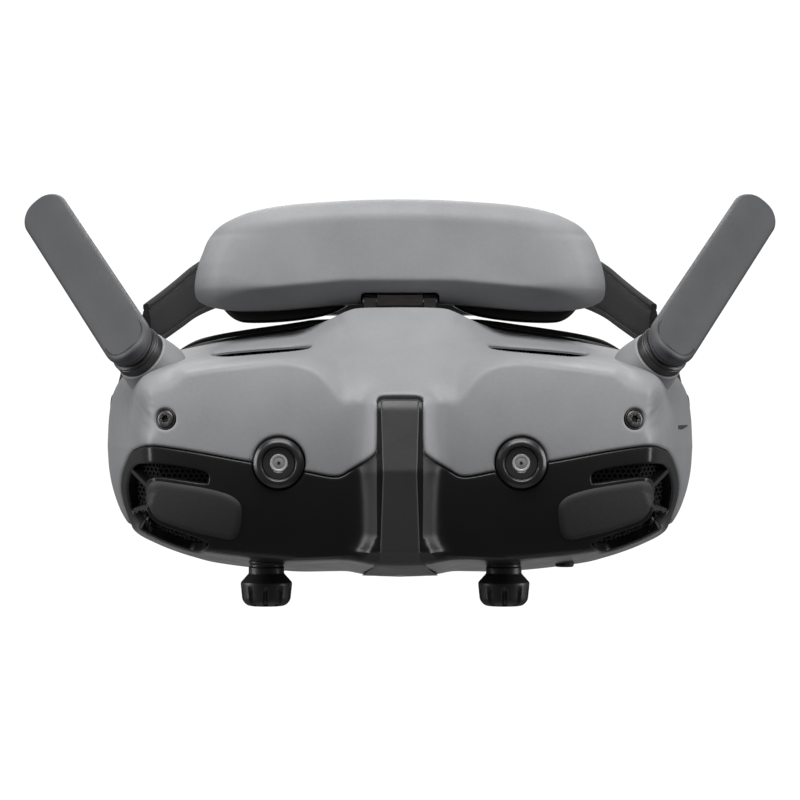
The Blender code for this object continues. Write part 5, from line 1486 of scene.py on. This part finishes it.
t_s, up_s, out_s = strap_frames(S_PATH)


def strap_section(i):
    w = S_W[i]
    half, th = w / 2, 1.2
    # padded band: full in the middle, a stitched groove 1.9 from each edge, thin rounded edges
    prof = [(-half, 0.0), (-half + 0.05, 0.42), (-half + 0.25, 0.72), (-half + 0.7, 0.86), (-half + 1.4, 0.82), (-half + 1.8, 0.62),
            (-half + 2.2, 0.82), (-half + 3.2, 1.08), (-half * 0.4, th), (0, th)]
    top = prof + [(-a, b) for a, b in prof[-2::-1]]
    return top + [(a, -b) for a, b in top[-2:0:-1]]


strap = sweep("headband_strap_right", S_PATH, strap_section, out_s, 55.0)
strap_l = mirror(strap, "headband_strap_left")
for o, side in ((strap, "right"), (strap_l, "left")):
    put(o, "headband", "strap_fabric", "strap_fabric", f"strap_{side}")
for k, edge in enumerate((-1, 1)):
    for j, face_sign in enumerate((1, -1)):
        line = S_PATH + up_s * (edge * (S_W / 2 - 1.8))[:, None] + out_s * (face_sign * 0.62)
        st = stitches(f"strap_stitches_{k}{j}_right", line[2:-2], (out_s * face_sign)[2:-2], 2.3, 1.6, 0.17, 0.06)
        sl = mirror(st, f"strap_stitches_{k}{j}_left")
        for o in (st, sl):
            put(o, "headband", "thread", "strap_fabric")

A_PATH = spline([(77.6, -12.0, 3.0), (77.2, -9.0, 11.0), (75.6, -4.0, 20.0), (74.0, 2.0, 28.6), (72.9, 9.0, 34.4)], 14)
A_W = np.interp(np.linspace(0, len(ARM_WIDTH) - 1.6, len(A_PATH)), range(len(ARM_WIDTH)), ARM_WIDTH) * 0.85


def arm_section(i):
    k = len(A_PATH) - 1
    e = min(i, k - i) / 8.0
    w = A_W[i] * (math.sqrt(max(0.0, 1 - (1 - e) ** 2)) * 0.55 + 0.45 if e < 1 else 1.0)
    return band_section(w, 2.2, 0.8, 5)


arm = sweep("headband_arm_right", A_PATH, arm_section, np.tile(np.array([[1.0, 0, 0]]), (len(A_PATH), 1)), 40.0)
cap = lathe("arm_pivot_cap_right", fillet([(0, 1.75), (4.6, 1.75), (5.4, 1.2), (5.4, 0.6), (0, 0.6)], [0, 0.7, 0.4, 0.1, 0], 5),
            (ARM_PIVOT[0] + 0.35, ARM_PIVOT[1], ARM_PIVOT[2]), (1, 0, 0), 96)
cap2 = lathe("arm_pivot_screw_right", fillet([(0, 2.0), (1.5, 2.0), (1.7, 1.8), (1.7, 1.5), (0, 1.5)], [0, 0.1, 0.1, 0, 0], 3),
             (ARM_PIVOT[0] + 0.35, ARM_PIVOT[1], ARM_PIVOT[2]), (1, 0, 0), 48)
for obj, mat, slot, stem in ((arm, "collar_black", "shell_black", "strap_arm"), (cap, "collar_black", "shell_black", None),
                             (cap2, "screw_steel", "gunmetal", None)):
    left = mirror(obj, obj.name.replace("_right", "_left"))
    for o, side in ((obj, "right"), (left, "left")):
        put(o, "headband", mat, slot, *([f"{stem}_{side}"] if stem else []))


# keeper loop where the strap meets the battery case
def keeper(name, at, width, thick, length):
    i = int(at * (len(S_PATH) - 1))
    c, t, up, out = S_PATH[i], t_s[i], up_s[i], out_s[i]
    outer = rounded_box(-width / 2 - 1.3, -thick / 2 - 1.0, width / 2 + 1.3, thick / 2 + 1.0, 1.3, 6)
    inner = rounded_box(-width / 2 - 0.1, -thick / 2 - 0.1, width / 2 + 0.1, thick / 2 + 0.1, 0.8, 6)[::-1]
    m = np.identity(4)
    m[:3, 0], m[:3, 1], m[:3, 2], m[:3, 3] = up, t, out, c
    return slab(name, [resample(outer, 0.6), resample(inner, 0.6)], -length / 2, length / 2, 0.3, 0.3, 1.0, matrix=m, fill=False)


for tag, at, ln in (("rear", 0.86, 6.0),):
    i = int(at * (len(S_PATH) - 1))
    kp = keeper(f"strap_keeper_{tag}_right", at, S_W[i], 2.4, ln)
    kl = mirror(kp, f"strap_keeper_{tag}_left")
    for o in (kp, kl):
        put(o, "headband", "collar_black", "shell_black")


def bow(P):
    Q = P.copy()
    Q[:, 1] = P[:, 1] - 12.0 * (P[:, 0] / 42.0) ** 2
    return Q


def make_case():
    outer = resample(rounded_box(-43, 42, 43, 74, 9.0, 12), 1.0)
    pocket = resample(rounded_box(-34.0, 47.0, 34.0, 69.0, 3.0, 8), 0.9)
    pocket2 = np.array(offset_loop(pocket, -0.2))

    def keep(x, z):
        return inside(outer, x, z)

    gx, gz = np.meshgrid(np.arange(-43, 43.1, 1.8), np.arange(42, 74.1, 1.8))
    base = np.stack([gx.ravel(), gz.ravel()], 1)
    d = loop_distance([pocket, pocket2], base[:, 0], base[:, 1])
    V, T = triangles([outer], keep, base[d > 0.6], rows_for(4.0), 0.8, plain=[pocket, pocket2])
    x, z = V[:, 0], V[:, 1]
    d_out = loop_distance([outer], x, z)
    in_pocket = inside(pocket2, x, z) | (loop_distance([pocket2], x, z) < 0.02)
    front = np.stack([x, 160 + sink(d_out, 4.0), z], 1)
    back = np.stack([x, np.where(in_pocket, 174.8, 180 - sink(d_out, 4.0)), z], 1)
    return solid("battery_housing", V, T, bow(front), bow(back), None, 42.0)


put(make_case(), "headband", "shell_black", "shell_black", "battery_case")
cover_out = resample(rounded_box(-33.7, 47.3, 33.7, 68.7, 2.8, 8), 0.9)
dial_hole = resample(np.array(circle(0, 58, 8.45, 64))[::-1], 0.8)
power_hole = resample(np.array(circle(20, 58, 3.3, 40))[::-1], 0.5)
put(slab("battery_lid", [cover_out, dial_hole, power_hole], 175.2, 181.0, 0.4, 0.8, 1.6, shape=bow), "headband", "shell_black",
    "shell_black", "battery_cover")
for k in range(4):
    dot = resample(rounded_box(27.0 + 0, 54.0 + k * 2.3, 28.6, 55.2 + k * 2.3, 0.35, 4), 0.25)
    put(slab(f"charge_light_{k}", [dot], 180.6, 181.05, 0.05, 0.12, 0.5, shape=bow), "headband", "led_off", "optic_glass")


def knurl(a, r, h):
    return r - 0.28 * (0.5 + 0.5 * math.cos(36 * a)) if r > 7.4 and 177.5 < h < 183.6 else r


dial = fillet([(0, 183.9), (3.4, 183.9), (4.2, 184.5), (6.7, 184.6), (7.95, 183.5), (7.98, 177.0), (7.6, 176.5), (0, 176.5)],
              [0, 0.5, 0.5, 0.6, 0.4, 0.3, 0.2, 0], 5)
dense = [dial[0]]
for p, q in zip(dial, dial[1:]):
    k = max(1, int(math.hypot(q[0] - p[0], q[1] - p[1]) / 0.9))
    for i in range(1, k + 1):
        dense.append((p[0] + (q[0] - p[0]) * i / k, p[1] + (q[1] - p[1]) * i / k))
put(lathe("fit_dial", dense, (0, 0, 58), (0, 1, 0), 288, knurl), "dial", "knob_black", "knob_black", "adjust_dial")
put(lathe("power_key", fillet([(0, 180.35), (1.2, 180.4), (2.5, 180.62), (2.95, 180.2), (2.98, 177.1), (0, 177.1)],
                              [0, 0.6, 0.3, 0.2, 0.1, 0], 4), (20, 0, 58), (0, 1, 0), 72), "power", "bumper_black", "bumper_black",
    "power_button")

# ---------------------------------------------------------------- CAD nodes that stay, with their finishes
for node, mat, edge in (("hinge_base", "gunmetal", 0.25), ("hinge_leaf", "gunmetal", 0.2), ("hinge_pin", "steel", 0.15),
                        ("mid_chassis", "inside_black", 0.4), ("guide_rod_upper", "steel", 0.2), ("guide_rod_lower", "steel", 0.2),
                        ("main_board", "board_green", 0.1), ("fan_housing", "inside_black", 0.4), ("fan_rotor", "mesh_black", 0.2),
                        ("heat_sink_left", "aluminium", 0.15), ("heat_sink_right", "aluminium", 0.15),
                        ("proximity_window", "dark_glass", 0.3), ("ipd_carriage_left", "inside_black", 0.4),
                        ("ipd_carriage_right", "inside_black", 0.4), ("display_module_left", "dark_glass", 0.3),
                        ("display_module_right", "dark_glass", 0.3), ("battery_cells", "cell_wrap", 0.5),
                        ("port_cover", "bumper_black", 0.2), ("link_button", "bumper_black", 0.2)):
    repaint(node, mat)
    bevelled(node, edge)

# ---------------------------------------------------------------- studio
def area(name, size, power, location, target, colour=(1, 1, 1), size_y=None):
    data = bpy.data.lights.new(name, "AREA")
    data.shape = "RECTANGLE"
    data.size, data.size_y = size, size_y or size
    data.energy = power
    data.color = colour
    obj = bpy.data.objects.new(name, data)
    bpy.context.scene.collection.objects.link(obj)
    obj.location = location
    obj.rotation_euler = (Vector(target) - Vector(location)).to_track_quat("-Z", "Y").to_euler()
    obj.visible_camera = False
    return obj


area("key_top", 1.0, 19.5, (0.0, -0.56, 0.94), (0, 0.0, 0.0), size_y=0.6)
area("side_left", 0.30, 6.4, (-0.95, -0.10, 0.18), (-0.02, 0, 0.0), size_y=0.7)
area("side_right", 0.30, 6.4, (0.95, -0.10, 0.18), (0.02, 0, 0.0), size_y=0.7)
area("back_top", 0.9, 6.5, (0.0, 1.0, 0.9), (0, 0.05, 0.02), size_y=0.4)

floor_mesh = bpy.data.meshes.new("studio_floor")
floor_mesh.from_pydata([(-0.9, -0.9, -1.6), (0.9, -0.9, -1.6), (0.9, 0.9, -1.6), (-0.9, 0.9, -1.6)], [], [(0, 1, 2, 3)])
floor = bpy.data.objects.new("studio_floor", floor_mesh)
bpy.context.scene.collection.objects.link(floor)
fm, fnt, fb, ftc = new_material("studio_paper")
fnt.links.new(ramp(fnt, noise(fnt, ftc, 3.0, 2.0), [(0.3, 0.78), (0.7, 0.82)]), fb.inputs["Base Color"])
fb.inputs["Roughness"].default_value = 0.9
floor_mesh.materials.append(fm)

# the room: white behind the goggles and overhead, dim in front
world = bpy.data.worlds.new("studio_world")
world.use_nodes = True
wt = world.node_tree
wtc = wt.nodes.new("ShaderNodeTexCoord")
sep = wt.nodes.new("ShaderNodeSeparateXYZ")
wt.links.new(wtc.outputs["Generated"], sep.inputs[0])
mr = wt.nodes.new("ShaderNodeMapRange")
mr.interpolation_type = "SMOOTHSTEP"
for key, val in (("From Min", 0.962), ("From Max", 0.981), ("To Min", 0.14), ("To Max", 1.05)):
    mr.inputs[key].default_value = val
wt.links.new(sep.outputs["Y"], mr.inputs["Value"])
wt.links.new(mr.outputs["Result"], wt.nodes["Background"].inputs["Strength"])
wt.nodes["Background"].inputs["Color"].default_value = (1, 1, 1, 1)
bpy.context.scene.world = world
bpy.context.scene.view_settings.view_transform = "Standard"

cam = bpy.data.cameras.new("camera")
cam.sensor_width = 36.0
cam.lens = 36.0 * 0.8 / (800 * 0.2715e-3)
cam.clip_start, cam.clip_end = 0.05, 20.0
cam_obj = bpy.data.objects.new("camera", cam)
bpy.context.scene.collection.objects.link(cam_obj)
cam_obj.location = (0.0, -0.822, 0.0136)
cam_obj.rotation_euler = (math.pi / 2, 0, 0)
bpy.context.scene.camera = cam_obj
